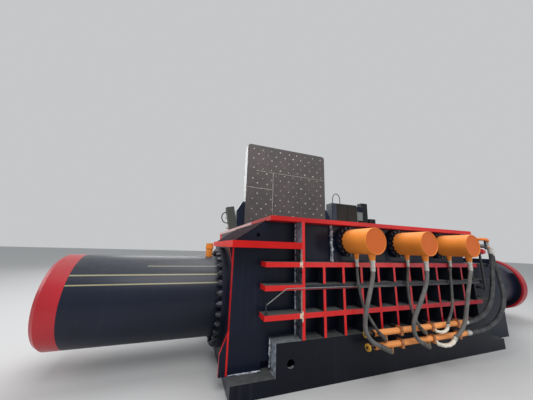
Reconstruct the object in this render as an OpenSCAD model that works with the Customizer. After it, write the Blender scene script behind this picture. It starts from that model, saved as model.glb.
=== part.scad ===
// Three-way hydraulic baling press for scrap metal: hinged lid, side ram and two rams along the lane.
// Sizes in millimetres. Every sub-part is drawn from the body's front left corner on the floor:
// x runs to the right along the front, y runs to the rear and z up.

/* [Body] */
// Length of the base, left to right
base_l = 4680; // [4400:10:5700]
// Depth of the base, front to rear
base_w = 4000; // [3400:10:4850]
// Height of the base's deck
base_h = 500; // [420:10:560]
// Height of the low ledges at both ends of the base
ledge_h = 160; // [120:10:200]
// Length of the left ledge
ledge_l = 500; // [300:10:600]
// Length of the right ledge
ledge_r = 380; // [250:10:450]
// Height of the top rail over the floor
body_h = 1940; // [1860:10:2330]
// Length of the body under the top rail
body_l = 4250; // [3900:10:4300]
// Height of the shoulder rail at the left end
shoulder_h = 1620; // [1580:5:1680]
// Length of the slope from the shoulder up to the top rail
slope_l = 400; // [300:10:480]
// Length of the housing that the main ram rests in
housing_l = 850; // [750:10:950]
// Thickness of the end wall at the right of the chamber
end_wall_t = 300; // [200:10:350]

/* [Walls and ribs] */
// Depth of the ribs on the outside of the walls
rib_d = 185; // [120:5:220]
// Thickness of the front wall behind its ribs
wall_t = 265; // [200:5:320]
// Thickness of the rails
rail_t = 60; // [40:1:80]
// Thickness of the upright ribs
rib_t = 36; // [25:1:50]
// Distance between the upright ribs
rib_pitch = 298; // [240:1:360]
// Thickness of skins and cover plates
skin_t = 40; // [25:1:60]

/* [Chamber] */
// Width of the lane that the main ram moves in
lane_w = 1400; // [1340:10:1500]
// Height of the lane's floor over the ground
floor_z = 300; // [280:5:320]
// Height of the closed lid's inner face over the ground
ceiling_z = 1280; // [1250:5:1290]
// Length of each ram head
head_l = 590; // [450:10:620]
// Clearance at the sides of a ram head
head_gap = 5; // [3:0.5:8]

/* [Lid] */
// Thickness of the lid
lid_t = 300; // [260:5:320]
// Reach of the lid from its hinge axis
lid_reach = 3340; // [2700:10:3380]
// Thickness of the arms at the lid's sides
arm_t = 230; // [220:5:280]
// Radius of the lid's hinge pins
hinge_pin_r = 70; // [50:1:90]
// Distance from the lid's hinge axis to the lid cylinders' upper pivots
lever_r = 350; // [320:5:360]

/* [Cylinders] */
// Outer radius of the main cylinder
main_r = 555; // [480:5:570]
// Height of the rams' axis over the ground
axis_z = 825; // [800:5:840]
// Length of the main cylinder behind its mounting face
main_l = 2010; // [1800:10:2500]
// Outer radius of the counter cylinder
counter_r = 470; // [400:5:520]
// Length of the counter cylinder
counter_l = 1600; // [1400:10:2000]
// Outer radius of the side cylinder
side_r = 370; // [330:5:375]
// Length of the side cylinder
side_l = 2050; // [1900:10:2400]
// Radial running clearance of rods, pins and pistons
run_gap = 0.05; // [0.02:0.01:0.1]

/* [Lock cylinders] */
// Outer radius of a lock cylinder
lock_r = 167; // [138:1:175]
// Length of a lock cylinder in front of the wall
lock_l = 540; // [500:5:650]
// Height of the lock cylinders over the ground
lock_z = 1665; // [1655:5:1685]
// Distance from the left end to the first lock cylinder
lock_x = 1650; // [1600:10:1760]
// Distance between the lock cylinders
lock_pitch = 940; // [850:10:985]
// Radius of the lock pins
lock_pin_r = 60; // [45:1:70]

/* [Piping] */
// Outer radius of the two manifold pipes
pipe_r = 36; // [28:1:42]
// Height of the upper manifold pipe over the ground
pipe_up_z = 535; // [510:5:560]
// Height of the lower manifold pipe over the ground
pipe_low_z = 385; // [340:5:400]
// Radius of the thin hoses to the rod ends
hose_a_r = 18; // [14:1:22]
// Radius of the thick hoses to the cap ends
hose_b_r = 25; // [20:1:28]
// Radius of the large supply hoses
hose_c_r = 32; // [26:1:36]

/* [Hidden] */

body_black = "#1d2230";
rail_red = "#b5221f";
band_red = "#b8252c";
wear_grey = "#5a5552";
steel = "silver";
lock_orange = "#e0853f";
hose_grey = "#55585c";
dust_grey = "#7d7f80";
chequer_brown = "#4d3d44";
arm_navy = "#1c2a4a";
chrome = "#b8bcc0";
elbow_cream = "#d9d3c3";
valve_grey = "#4a4e52";

$fn = 48;

seat = 0.3;
lane_y0 = rib_d + wall_t;
lane_y1 = lane_y0 + lane_w;
lane_y = (lane_y0 + lane_y1) / 2;
chamber_x0 = housing_l;
chamber_x1 = body_l - end_wall_t;
chamber_x = (chamber_x0 + chamber_x1) / 2;
rear_t = 100;
slab_z = floor_z - rail_t;
top_t = 56;
top_z = body_h - top_t;
head_top = ceiling_z - 10;
head_bottom = floor_z + seat;
body_gap = 5;
ledge_w = 145;
lid_x0 = chamber_x0 + ledge_w + body_gap;
lid_x1 = chamber_x1 - ledge_w - body_gap;
lid_l = lid_x1 - lid_x0;
hinge_y = base_w - rear_t / 2;
hinge_z = ceiling_z + lid_t / 2;
lid_y = hinge_y - lid_t / 2;
arm_up = 1470;
arm_x = [lid_x0 - arm_t, lid_x1];
pocket_x = [arm_x[0] - body_gap, arm_x[1] + arm_t + body_gap];
pocket_y = hinge_y - arm_up - 60;
tunnel_end = base_l + 720;

module place() translate([-base_l / 2, -base_w / 2, 0]) children();
module along_x(x0, x1) translate([x0, 0, 0]) rotate([90, 0, 90]) linear_extrude(x1 - x0) children();
module along_y(y0, y1) translate([0, y1, 0]) rotate([90, 0, 0]) linear_extrude(y1 - y0) children();
module box(from, to) translate(from) cube(to - from);
module rod_x(x0, x1, r) translate([x0, 0, 0]) rotate([0, 90, 0]) cylinder(h = x1 - x0, r = r);
module rod_y(y0, y1, r) translate([0, y0, 0]) rotate([-90, 0, 0]) cylinder(h = y1 - y0, r = r);

// Base: two hollow sills under the walls, a ribbed slab between them and low ledges at both ends
sill_w = lane_y0;
sill_hole_r = 47.5;
sill_hole_x = ledge_l + 183;
sill_hole_z = 278;
module sill_profile() polygon([
  [0, 0], [base_l, 0], [base_l, ledge_h], [base_l - ledge_r, ledge_h], [base_l - ledge_r, base_h],
  [ledge_l, base_h], [ledge_l, ledge_h], [0, ledge_h]
]);
slab_bays = 6;
slab_rows = 4;
module base_frame() color(body_black) place() difference() {
  union() {
    along_y(0, sill_w) sill_profile();
    along_y(base_w - rear_t, base_w) sill_profile();
    box([0, sill_w, 0], [base_l, base_w - rear_t, slab_z]);
  }
  sill_bay = (base_l - ledge_l - ledge_r - skin_t) / slab_bays;
  for (i = [0:slab_bays - 1]) translate([ledge_l + skin_t + i * sill_bay, skin_t, -1])
    cube([sill_bay - skin_t, sill_w - 2 * skin_t, base_h - skin_t + 1]);
  bay_x = (base_l - skin_t) / slab_bays;
  bay_y = (base_w - rear_t - sill_w - skin_t) / slab_rows;
  for (i = [0:slab_bays - 1], j = [0:slab_rows - 1])
    translate([skin_t + i * bay_x, sill_w + skin_t + j * bay_y, -1])
      cube([bay_x - skin_t, bay_y - skin_t, slab_z - skin_t + 1]);
  translate([sill_hole_x, 0, sill_hole_z]) rod_y(-1, skin_t + 1, sill_hole_r);
}

// Front wall: hollow below the lock beam, with a small drain at its foot and the bores of the lock pins
module front_wall_profile() polygon([
  [0, ledge_h], [ledge_l, ledge_h], [ledge_l, base_h], [base_l - ledge_r, base_h],
  [base_l - ledge_r, ledge_h], [base_l, ledge_h], [base_l, rail_2_z], [body_l, rail_2_z],
  [body_l, top_z], [slope_l, top_z], [0, shoulder_h - 10]
]);
module gusset_profile() {
  polygon([[-60, shoulder_h - 80], [0, shoulder_h - 80], [0, shoulder_h - 330]]);
  polygon([[0, 620], [-95, 380], [-95, ledge_h], [0, ledge_h]]);
}
module front_wall() color(body_black) place() difference() {
  union() {
    along_y(rib_d, lane_y0) front_wall_profile();
    along_y(rib_d, rib_d + skin_t) gusset_profile();
  }
  bay = (base_l - ledge_l - ledge_r - skin_t) / slab_bays;
  for (i = [0:slab_bays - 1]) translate([ledge_l + skin_t + i * bay, rib_d + skin_t, base_h - 1])
    cube([bay - skin_t, wall_t - 2 * skin_t, ceiling_z - base_h - skin_t]);
  for (i = [0:2]) translate([lock_x + i * lock_pitch, 0, lock_z])
    rod_y(rib_d - 1, lane_y0 + 1, lock_pin_r + run_gap);
  translate([ledge_l - 115, rib_d - 1, ledge_h - 1]) cube([115, 61, 101]);
  translate([300, 0, 1700]) rod_y(rib_d - 1, rib_d + 60, 25);
}

// Lattice on the front wall: rails with the upright ribs between them
rail_2_z = 1381;
rail_3_z = 1115;
rail_4_z = 795;
rib_count = floor((base_l - ledge_r + 130 - housing_l) / rib_pitch);
module front_ribs() color(rail_red) place() {
  for (z = [rail_2_z, rail_3_z, rail_4_z])
    box([350, 0, z - rail_t], [base_l - 80, rib_d, z]);
  box([housing_l - 20, 0, base_h], [housing_l + 20, rib_d, top_z]);
  for (i = [1:rib_count - 1]) {
    x = housing_l + i * rib_pitch;
    for (span = [[base_h, rail_4_z - rail_t], [rail_4_z, rail_3_z - rail_t], [rail_3_z, rail_2_z - rail_t]])
      box([x - rib_t / 2, 0, span[0]], [x + rib_t / 2, rib_d, span[1]]);
  }
}

// Pad plate that carries the lock cylinders
pad_t = 30;
module lock_pad() color(body_black) place() difference() {
  box([lock_x - 250, rib_d - pad_t, rail_2_z], [body_l - 50, rib_d, top_z]);
  for (i = [0:2]) translate([lock_x + i * lock_pitch, 0, lock_z])
    rod_y(0, rib_d + 1, lock_pin_r + seat);
}

// Top frame: the red-edged plate round the charging opening, with a deck behind the housing
deck_y = base_w + 560;
short_deck_y = base_w + 300;
module top_frame() color(rail_red) place() {
  box([slope_l, 0, top_z], [body_l, lane_y0, body_h]);
  box([slope_l, 0, top_z], [chamber_x0, pocket_y, body_h]);
  box([slope_l, 0, top_z], [pocket_x[0], deck_y, body_h]);
  box([chamber_x1, 0, top_z], [body_l, pocket_y, body_h]);
  box([pocket_x[1], 0, top_z], [body_l, short_deck_y, body_h]);
}

// Shoulder rail on the front of the housing and round its left end
shoulder_t = 80;
module shoulder_rail() color(rail_red) place() {
  box([-60, 0, shoulder_h - shoulder_t], [housing_l - 20, rib_d, shoulder_h]);
  box([-60, rib_d - 1, shoulder_h - shoulder_t], [0, lane_y1, shoulder_h]);
}

// Chequered plate over the slope between shoulder and top rail
slope_plate_t = 10;
module slope_plate() color(chequer_brown) place() along_y(rib_d, lane_y1 + 140) polygon([
  [0, shoulder_h - 10], [slope_l, top_z], [slope_l, top_z + slope_plate_t * 1.28],
  [0, shoulder_h - 10 + slope_plate_t * 1.28]
]);

// Left end plate between the walls, with the mouth for the main gland and the stud holes
mouth_r = 330;
module left_end_plate() color(body_black) place() difference() {
  box([0, lane_y0, slab_z], [200, lane_y1, shoulder_h - shoulder_t]);
  translate([0, lane_y, axis_z]) rod_x(-1, 201, mouth_r);
}

// Wall behind the housing and along the left side of the chamber
module left_wall() color(body_black) place() {
  box([0, lane_y1, slab_z], [slope_l, lane_y1 + 140, shoulder_h - 10]);
  box([slope_l, lane_y1, slab_z], [chamber_x0, pocket_y, top_z]);
  box([slope_l, lane_y1, slab_z], [chamber_x0, base_w - rear_t, ceiling_z]);
  box([slope_l, lane_y1, slab_z], [pocket_x[0], base_w - rear_t, top_z]);
  box([chamber_x0 - 200, lane_y0, ceiling_z + rail_t], [chamber_x0, lane_y1, top_z]);
}

// Roof over the main ram's resting place
module lane_roof() color(body_black) place()
  box([200, lane_y0, ceiling_z], [chamber_x0, lane_y1, ceiling_z + rail_t]);

// Wall at the right of the chamber, behind the mouth of the tunnel
module right_wall() color(body_black) place() {
  box([chamber_x1, lane_y1, slab_z], [body_l, pocket_y, top_z]);
  box([chamber_x1, lane_y1, slab_z], [body_l, base_w - rear_t, ceiling_z]);
  box([pocket_x[1], lane_y1, slab_z], [body_l, base_w - rear_t, top_z]);
  box([chamber_x1, lane_y0, ceiling_z], [body_l, lane_y1, top_z]);
}

// Rear plate that carries the side cylinder and the hinge blocks
module rear_plate() color(body_black) place() difference() {
  union() {
    box([slope_l, base_w - rear_t, base_h], [body_l, base_w, ceiling_z - 80]);
    box([lid_x0, base_w - rear_t, base_h], [lid_x1, base_w, head_top]);
    box([slope_l, base_w - rear_t, base_h], [pocket_x[0], base_w, top_z]);
    box([pocket_x[1], base_w - rear_t, base_h], [body_l, base_w, top_z]);
  }
  translate([chamber_x, 0, axis_z]) rod_y(base_w - rear_t - 1, base_w + 1, side_mouth_r);
}

// Upright ribs under the rear decks
module rear_ribs() color(rail_red) place() {
  for (x = [slope_l + 20, pocket_x[0] - 60]) along_x(x, x + 40)
    polygon([[base_w, top_z], [deck_y - 20, top_z], [deck_y - 20, top_z - 120], [base_w, 1180]]);
  along_x(body_l - 60, body_l - 20)
    polygon([[base_w, top_z], [short_deck_y - 20, top_z], [short_deck_y - 20, top_z - 120], [base_w, 1400]]);
}

// Wear floor of the lane, the chamber and the tunnel
module lane_floor() color(wear_grey) place() {
  box([200, lane_y0, slab_z], [tunnel_end, lane_y1, floor_z]);
  box([chamber_x0, lane_y1, slab_z], [chamber_x1, base_w - rear_t, floor_z]);
}

// Ledge round the chamber that fills the space between the closed lid and the walls
ledge_top = ceiling_z + lid_t - 20;
module chamber_ledge() color(body_black) place() {
  box([chamber_x0, lane_y0, ceiling_z], [lid_x0 - body_gap, pocket_y, ledge_top]);
  box([lid_x1 + body_gap, lane_y0, ceiling_z], [chamber_x1, pocket_y, ledge_top]);
  box([chamber_x0, lane_y0, ceiling_z], [chamber_x1, hinge_y - lid_reach - 8, ledge_top]);
}

// Tunnel to the right of the body that the counter ram rests in
tunnel_t = 120;
end_t = 140;
module tunnel() color(body_black) place() {
  box([body_l, lane_y1, slab_z], [tunnel_end, lane_y1 + tunnel_t, ceiling_z]);
  box([base_l, lane_y0 - tunnel_t, 0], [tunnel_end, lane_y0, ceiling_z + rail_t]);
  box([base_l, lane_y0, 0], [tunnel_end, lane_y1 + tunnel_t, slab_z]);
  difference() {
    box([tunnel_end, lane_y0 - tunnel_t, 0], [tunnel_end + end_t, lane_y1 + tunnel_t, ceiling_z + 170]);
    translate([0, lane_y, axis_z]) rod_x(tunnel_end - 1, tunnel_end + end_t + 1, counter_mouth_r);
  }
}
module tunnel_roof() color(dust_grey) place()
  box([body_l, lane_y0, ceiling_z], [tunnel_end, lane_y1 + tunnel_t, ceiling_z + rail_t]);

// A big cylinder points along +x: its flange face is at x = 0 and its barrel lies at x < 0
flange_t = 60;
wall_share = 0.72;
module barrel(l, r, cap_l, flange_r, mouth) difference() {
  union() {
    rod_x(-l + cap_l, 0, r);
    rod_x(-flange_t, 0, flange_r);
  }
  rod_x(-l + cap_l - 1, -flange_t - 40, r * wall_share);
  rod_x(-flange_t - 41, 1, mouth);
}
module end_cap(l, r, cap_l) rotate([0, -90, 0]) rotate_extrude() polygon([
  [0, l - cap_l], [r, l - cap_l], [r, l - 45], [r - 30, l], [r - 150, l], [r - 165, l - 25], [0, l - 25]
]);
module studs(r, n, size) for (i = [0:n - 1]) rotate([i * 360 / n, 0, 0]) translate([0, 0, r]) {
  rod_x(-flange_t - 60, -flange_t, size / 2);
  translate([-flange_t - 42, 0, 0]) rotate([0, 90, 0]) cylinder(h = 42, r = size * 0.9, $fn = 6);
}

// Main cylinder on the left end plate
main_cap_l = 230;
main_flange_r = 700;
main_rod_r = 230;
module at_main() place() translate([0, lane_y, axis_z]) children();
module main_barrel() color(body_black) at_main()
  barrel(main_l, main_r, main_cap_l, main_flange_r, mouth_r - 20);
module main_end_cap() color(band_red) at_main() end_cap(main_l, main_r, main_cap_l);
module flange_studs() color(steel) {
  at_main() studs(642, 32, 44);
  at_counter() studs(540, 28, 40);
  at_side() studs(410, 24, 30);
}
module main_gland() color(steel) at_main() difference() {
  union() {
    rod_x(-140, 120, mouth_r - 20 - seat);
    rod_x(0, 60, mouth_r - seat);
  }
  rod_x(-141, 121, main_rod_r + run_gap);
}
module main_rod() color(chrome) at_main() {
  rod_x(-main_l + main_cap_l + 40, -main_l + main_cap_l + 260, main_r * wall_share - run_gap);
  rod_x(-main_l + main_cap_l + 259, 260, main_rod_r);
}

// A ram head faces +x: a welded box with pockets round the rod's boss
module ram_head(l, w, h, drop) difference() {
  translate([0, -w / 2, -drop]) cube([l, w, h]);
  for (y0 = [-w / 2 + 60, main_rod_r + 50])
    translate([-1, y0, -drop + 80]) cube([l - 80, w / 2 - main_rod_r - 110, h - 160]);
}
module main_head() color(wear_grey) at_main() translate([260, 0, 0])
  ram_head(head_l - 10, lane_w - 2 * head_gap, head_top - head_bottom, axis_z - head_bottom);

// Counter cylinder at the far end of the tunnel, pointing to the left
counter_mouth_r = 240;
counter_cap_l = 200;
counter_flange_r = 600;
counter_rod_r = 200;
counter_reach = tunnel_end + end_t - chamber_x1 - head_l - 10;
module at_counter() place() translate([tunnel_end + end_t, lane_y, axis_z]) rotate([0, 0, 180]) children();
module counter_barrel() color(body_black) at_counter()
  barrel(counter_l, counter_r, counter_cap_l, counter_flange_r, counter_rod_r + run_gap);
module counter_end_cap() color(band_red) at_counter() end_cap(counter_l, counter_r + 115, counter_cap_l);
module counter_rod() color(chrome) at_counter() {
  rod_x(-counter_l + counter_cap_l + 40, -counter_l + counter_cap_l + 240, counter_r * wall_share - run_gap);
  rod_x(-counter_l + counter_cap_l + 239, counter_reach, counter_rod_r);
}
module counter_head() color(wear_grey) at_counter() translate([counter_reach, 0, 0])
  ram_head(head_l, lane_w - 2 * head_gap, head_top - head_bottom, axis_z - head_bottom);

// Side cylinder behind the rear plate, pointing to the front
side_mouth_r = 200;
side_cap_l = 200;
side_flange_r = 445;
side_rod_r = 170;
module at_side() place() translate([chamber_x, base_w, axis_z]) rotate([0, 0, -90]) children();
module side_barrel() color(body_black) at_side()
  barrel(side_l, side_r, side_cap_l, side_flange_r, side_rod_r + run_gap);
module side_end_cap() color(band_red) at_side() end_cap(side_l, side_r, side_cap_l);
module side_rod() color(chrome) at_side() {
  rod_x(-side_l + side_cap_l + 40, -side_l + side_cap_l + 240, side_r * wall_share - run_gap);
  rod_x(-side_l + side_cap_l + 239, rear_t + 10, side_rod_r);
}
module side_head() color(wear_grey) at_side() translate([rear_t + 10, 0, 0])
  ram_head(head_l, chamber_x1 - chamber_x0 - 2 * head_gap, head_top - head_bottom, axis_z - head_bottom);

// Oil ports on top of the three big cylinders, near their flanges
port_r = 50;
port_h = 130;
port_x = -200;
module oil_port(r) difference() {
  translate([port_x, 0, r - 10]) {
    cylinder(h = port_h, r = port_r);
    translate([0, 0, port_h]) cylinder(h = 24, r = port_r + 14, $fn = 6);
    translate([0, 0, port_h + 24]) cylinder(h = 60, r = port_r + 4);
  }
  rod_x(port_x - 2 * port_r, port_x + 2 * port_r, r + seat);
}
module port_fittings() color(lock_orange) {
  at_main() oil_port(main_r);
  at_counter() oil_port(counter_r);
  at_side() oil_port(side_r);
}

// Lock cylinders on the pad, pointing to the viewer, with their pins through the wall
lock_front = rib_d - pad_t - lock_l;
lock_flange_t = 60;
lock_neck_l = 50;
lock_flange_r = lock_r + 45;
lock_rear = rib_d - pad_t - lock_flange_t - lock_neck_l;
lock_rim_bolts = 16;
module at_lock(i) place() translate([lock_x + i * lock_pitch, 0, lock_z]) children();
module lock_barrels() color(lock_orange) for (i = [0:2]) at_lock(i) {
  difference() {
    rod_y(lock_front + 20, lock_rear, lock_r);
    rod_y(lock_front + 19, lock_rear + 1, lock_r - 40);
  }
  translate([0, lock_front, 0]) rotate([-90, 0, 0]) rotate_extrude() polygon([
    [0, 6], [lock_r - 14, 6], [lock_r - 10, 0], [lock_r - 4, 0], [lock_r, 4], [lock_r, 20], [0, 20]
  ]);
  for (k = [0:lock_rim_bolts - 1]) rotate([0, (k + 0.5) * 360 / lock_rim_bolts, 0])
    translate([lock_r - 10, lock_rear, 0]) rod_y(0, 22, 9, $fn = 12);
}
module lock_flanges() color(body_black) for (i = [0:2]) at_lock(i) difference() {
  union() {
    rod_y(rib_d - pad_t - lock_flange_t, rib_d - pad_t, lock_flange_r);
    rod_y(lock_rear, rib_d - pad_t - lock_flange_t, lock_r - 22);
  }
  rod_y(lock_rear - 1, rib_d - pad_t + 1, lock_pin_r + run_gap);
}
module lock_flange_bolts() color(steel) for (i = [0:2]) at_lock(i) for (k = [0:lock_rim_bolts - 1])
  rotate([0, k * 360 / lock_rim_bolts, 0]) translate([lock_flange_r - 24, 0, 0])
    translate([0, rib_d - pad_t - lock_flange_t, 0]) rotate([90, 0, 0]) cylinder(h = 22, r = 17, $fn = 6);
nozzle_y = [-25, -300];
nozzle_l = 70;
nozzle_end_r = [25, 33];
module lock_nozzles() color(lock_orange) for (i = [0:2], k = [0:1]) at_lock(i)
  difference() {
    translate([0, nozzle_y[k], -lock_r - nozzle_l])
      cylinder(h = nozzle_l + 14, r1 = nozzle_end_r[k], r2 = nozzle_end_r[k] + 13);
    rod_y(nozzle_y[k] - 60, nozzle_y[k] + 60, lock_r + seat);
  }
module lock_pin(i) color(steel) at_lock(i) {
  rod_y(lock_front + 40, lock_front + 80, lock_r - 40 - run_gap);
  rod_y(lock_front + 79, lane_y0 - 5, lock_pin_r);
}
module lock_pin_1() lock_pin(0);
module lock_pin_2() lock_pin(1);
module lock_pin_3() lock_pin(2);

// Lid in its open position, upright behind the chamber
lid_root = 150;
lid_skin = 60;
wear_t = 20;
ear_t = 120;
block_w = 240;
hinge_x = [for (f = [0.14, 0.5, 0.86]) lid_x0 + f * lid_l];
ear_x = [for (x = hinge_x, s = [-1, 1]) x + s * (block_w / 2 + body_gap + ear_t / 2)];
module ear_profile() difference() {
  union() {
    translate([hinge_y, hinge_z]) circle(r = lid_t / 2 - 10);
    translate([lid_y + wear_t, hinge_z]) square([lid_t - wear_t, lid_root]);
  }
  translate([hinge_y, hinge_z]) circle(r = hinge_pin_r + run_gap);
}
lid_bays_x = 5;
lid_bays_z = 6;
lid_corner_r = 90;
module lid_outline() hull() {
  for (x = [lid_x0 + lid_corner_r, lid_x1 - lid_corner_r])
    translate([x, hinge_z + lid_reach - lid_corner_r]) circle(r = lid_corner_r);
  translate([lid_x0, hinge_z + lid_root]) square([lid_l, lid_corner_r]);
}
module lid_plate() color(body_black) place() {
  difference() {
    along_y(lid_y + wear_t, lid_y + lid_t) lid_outline();
    bay_x = (lid_l - skin_t) / lid_bays_x;
    bay_z = (lid_reach - lid_root - skin_t) / lid_bays_z;
    for (i = [0:lid_bays_x - 1], j = [0:lid_bays_z - 1])
      translate([lid_x0 + skin_t + i * bay_x, lid_y + lid_skin, hinge_z + lid_root + skin_t + j * bay_z])
        cube([bay_x - skin_t, lid_t, bay_z - skin_t]);
  }
  for (x = ear_x) along_x(x - ear_t / 2, x + ear_t / 2) ear_profile();
}
module lid_wear_plates() color(wear_grey) place() {
  split_x = lid_x0 + lid_l * 0.31;
  seam_z = hinge_z + lid_reach - 870;
  low_z = seam_z - 560;
  seam = 3;
  intersection() {
    along_y(lid_y, lid_y + wear_t) lid_outline();
    box([lid_x0, lid_y - 1, seam_z + seam], [lid_x1, lid_y + lid_t, hinge_z + lid_reach + 1]);
  }
  box([split_x + seam, lid_y, hinge_z + lid_root], [lid_x1, lid_y + wear_t, seam_z]);
  box([lid_x0, lid_y, low_z + seam], [split_x, lid_y + wear_t, seam_z]);
  box([lid_x0, lid_y, hinge_z + lid_root], [split_x, lid_y + wear_t, low_z]);
}

// Arms at the lid's sides: two cheeks and a front web up the lid, and a lever for the lid cylinder
cheek_t = 60;
web_t = 70;
hub_r = lid_t / 2 - 10;
arm_top_r = 90;
lever_angle = -48;
lever_y = hinge_y + lever_r * cos(lever_angle);
lever_z = hinge_z + lever_r * sin(lever_angle);
lever_pin_r = 45;
eye_r = 80;
eye_t = arm_t - 2 * cheek_t - 10;
arm_slant_h = 300;
module arm_leg() hull() {
  translate([hinge_y, hinge_z + 60]) circle(r = 110);
  translate([hinge_y, hinge_z + arm_up - arm_top_r]) circle(r = arm_top_r);
}
module arm_cheek() {
  translate([hinge_y, hinge_z]) circle(r = hub_r);
  arm_leg();
  hull() {
    translate([hinge_y, hinge_z]) circle(r = 130);
    translate([lever_y, lever_z]) circle(r = eye_r + 15);
  }
}
module arm_body(x) {
  for (side = [0, arm_t - cheek_t]) along_x(x + side, x + side + cheek_t) arm_cheek();
  along_x(x, x + arm_t) {
    translate([hinge_y, hinge_z]) circle(r = hub_r);
    intersection() {
      arm_leg();
      translate([hinge_y - 200, hinge_z]) square([100 + web_t, arm_up]);
    }
    translate([hinge_y, hinge_z + arm_up - arm_top_r]) circle(r = arm_top_r);
  }
}
module lid_arm(x, free_x, inner_x) {
  difference() {
    arm_body(x);
    along_y(hinge_y - lid_t, hinge_y + lid_t) polygon([
      [free_x, hinge_z + arm_up + 1], [inner_x, hinge_z + arm_up + 1], [free_x, hinge_z + arm_up - arm_slant_h]
    ]);
  }
  for (side = [-12, arm_t]) translate([x + side, lever_y, lever_z]) rod_x(0, 12, lever_pin_r + 20);
}
module lid_arm_left() color(arm_navy) place() lid_arm(arm_x[0], arm_x[0] - 1, arm_x[0] + arm_t - cheek_t);
module lid_arm_right() color(arm_navy) place() lid_arm(arm_x[1], arm_x[1] + arm_t + 1, arm_x[1] + cheek_t);

// Hinge blocks on the rear plate, with a pin through each block and the two ears beside it
module hinge_blocks() color(body_black) place() for (x = hinge_x)
  along_x(x - block_w / 2, x + block_w / 2) difference() {
    union() {
      translate([hinge_y, hinge_z]) circle(r = lid_t / 2 - 10);
      translate([base_w - rear_t, head_top]) square([rear_t, hinge_z - head_top]);
    }
    translate([hinge_y, hinge_z]) circle(r = hinge_pin_r + seat);
  }
module hinge_pins() color(steel) place() for (x = hinge_x) translate([0, hinge_y, hinge_z])
  rod_x(x - block_w / 2 - body_gap - ear_t - 10, x + block_w / 2 + body_gap + ear_t + 10, hinge_pin_r);

// Lid cylinders upright behind the rear plate, one under each lever
foot_y = base_w + 195;
foot_z = 250;
lid_barrel_r = 100;
lid_rod_r = 55;
lid_barrel_l = 790;
foot_eye_t = 80;
neck_l = 100;
foot_pin_r = 40;
module lid_cylinder(x) place() translate([x, foot_y, foot_z]) rotate([lean, 0, 0]) difference() {
  union() {
    translate([0, 0, neck_l]) cylinder(h = lid_barrel_l - neck_l, r = lid_barrel_r);
    rod_x(-foot_eye_t / 2, foot_eye_t / 2, eye_r);
    translate([-foot_eye_t / 2, -eye_r, 0]) cube([foot_eye_t, 2 * eye_r, neck_l + 1]);
  }
  rod_x(-foot_eye_t / 2 - 1, foot_eye_t / 2 + 1, foot_pin_r + run_gap);
  translate([0, 0, 130]) cylinder(h = lid_barrel_l - 130 - 40, r = lid_barrel_r - 25);
  translate([0, 0, lid_barrel_l - 41]) cylinder(h = 42, r = lid_rod_r + run_gap);
}
lean = atan((foot_y - lever_y) / (lever_z - foot_z));
lid_cyl_reach = norm([foot_y - lever_y, lever_z - foot_z]);
module lid_rod(x) place() translate([x, foot_y, foot_z]) rotate([lean, 0, 0]) {
  translate([0, 0, 150]) cylinder(h = 80, r = lid_barrel_r - 25 - run_gap);
  translate([0, 0, 229]) cylinder(h = lid_cyl_reach - 229 - 60, r = lid_rod_r);
  translate([0, 0, lid_cyl_reach]) rod_x(-eye_t / 2, eye_t / 2, eye_r);
}
lever_x = [for (x = arm_x) x + arm_t / 2];
module lid_cylinder_left() color(arm_navy) lid_cylinder(lever_x[0]);
module lid_cylinder_right() color(arm_navy) lid_cylinder(lever_x[1]);
module lid_rod_left() color(steel) lid_rod(lever_x[0]);
module lid_rod_right() color(steel) lid_rod(lever_x[1]);
module lid_cylinder_brackets() color(body_black) place() for (x = lever_x) {
  for (side = [-foot_eye_t / 2 - 45, foot_eye_t / 2 + 5]) along_x(x + side, x + side + 40) {
    translate([foot_y, foot_z]) circle(r = eye_r);
    polygon([[base_w, 80], [base_w, foot_z + eye_r], [foot_y, foot_z + eye_r], [foot_y, foot_z - eye_r]]);
  }
  translate([x, foot_y, foot_z]) rod_x(-foot_eye_t / 2 - 6, foot_eye_t / 2 + 6, foot_pin_r);
}

// Manifold pipes in front of the base, with end fittings, clamps and branch elbows
pipe_y = -120;
pipe_x0 = [1750, 1770];
pipe_x1 = [3440, 3480];
pipe_z = [pipe_up_z, pipe_low_z];
module manifold_pipes() color(lock_orange) place() for (k = [0:1]) translate([0, pipe_y, pipe_z[k]]) {
  rod_x(pipe_x0[k], pipe_x1[k], pipe_r);
  rod_x(pipe_x0[k] - 110, pipe_x0[k] - 90, pipe_r + 6);
  rod_x(pipe_x0[k] - 91, pipe_x0[k] + 1, pipe_r - 14);
  rod_x(pipe_x1[k] - 1, pipe_x1[k] + 40, pipe_r - 8);
}
module pipe_clamps() color(steel) place() for (x = [2200, 2790, 3330], k = [0:1]) difference() {
  box([x - 20, pipe_y - pipe_r - 10, pipe_z[k] - pipe_r - 14], [x + 20, 0, min(pipe_z[k] + pipe_r + 14, 590)]);
  translate([0, pipe_y, pipe_z[k]]) rod_x(x - 21, x + 21, pipe_r + seat);
  if (pipe_z[k] + pipe_r + 14 > base_h) box([x - 21, -1.2, base_h - 60], [x + 21, 1, pipe_z[k] + 60]);
}

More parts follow.
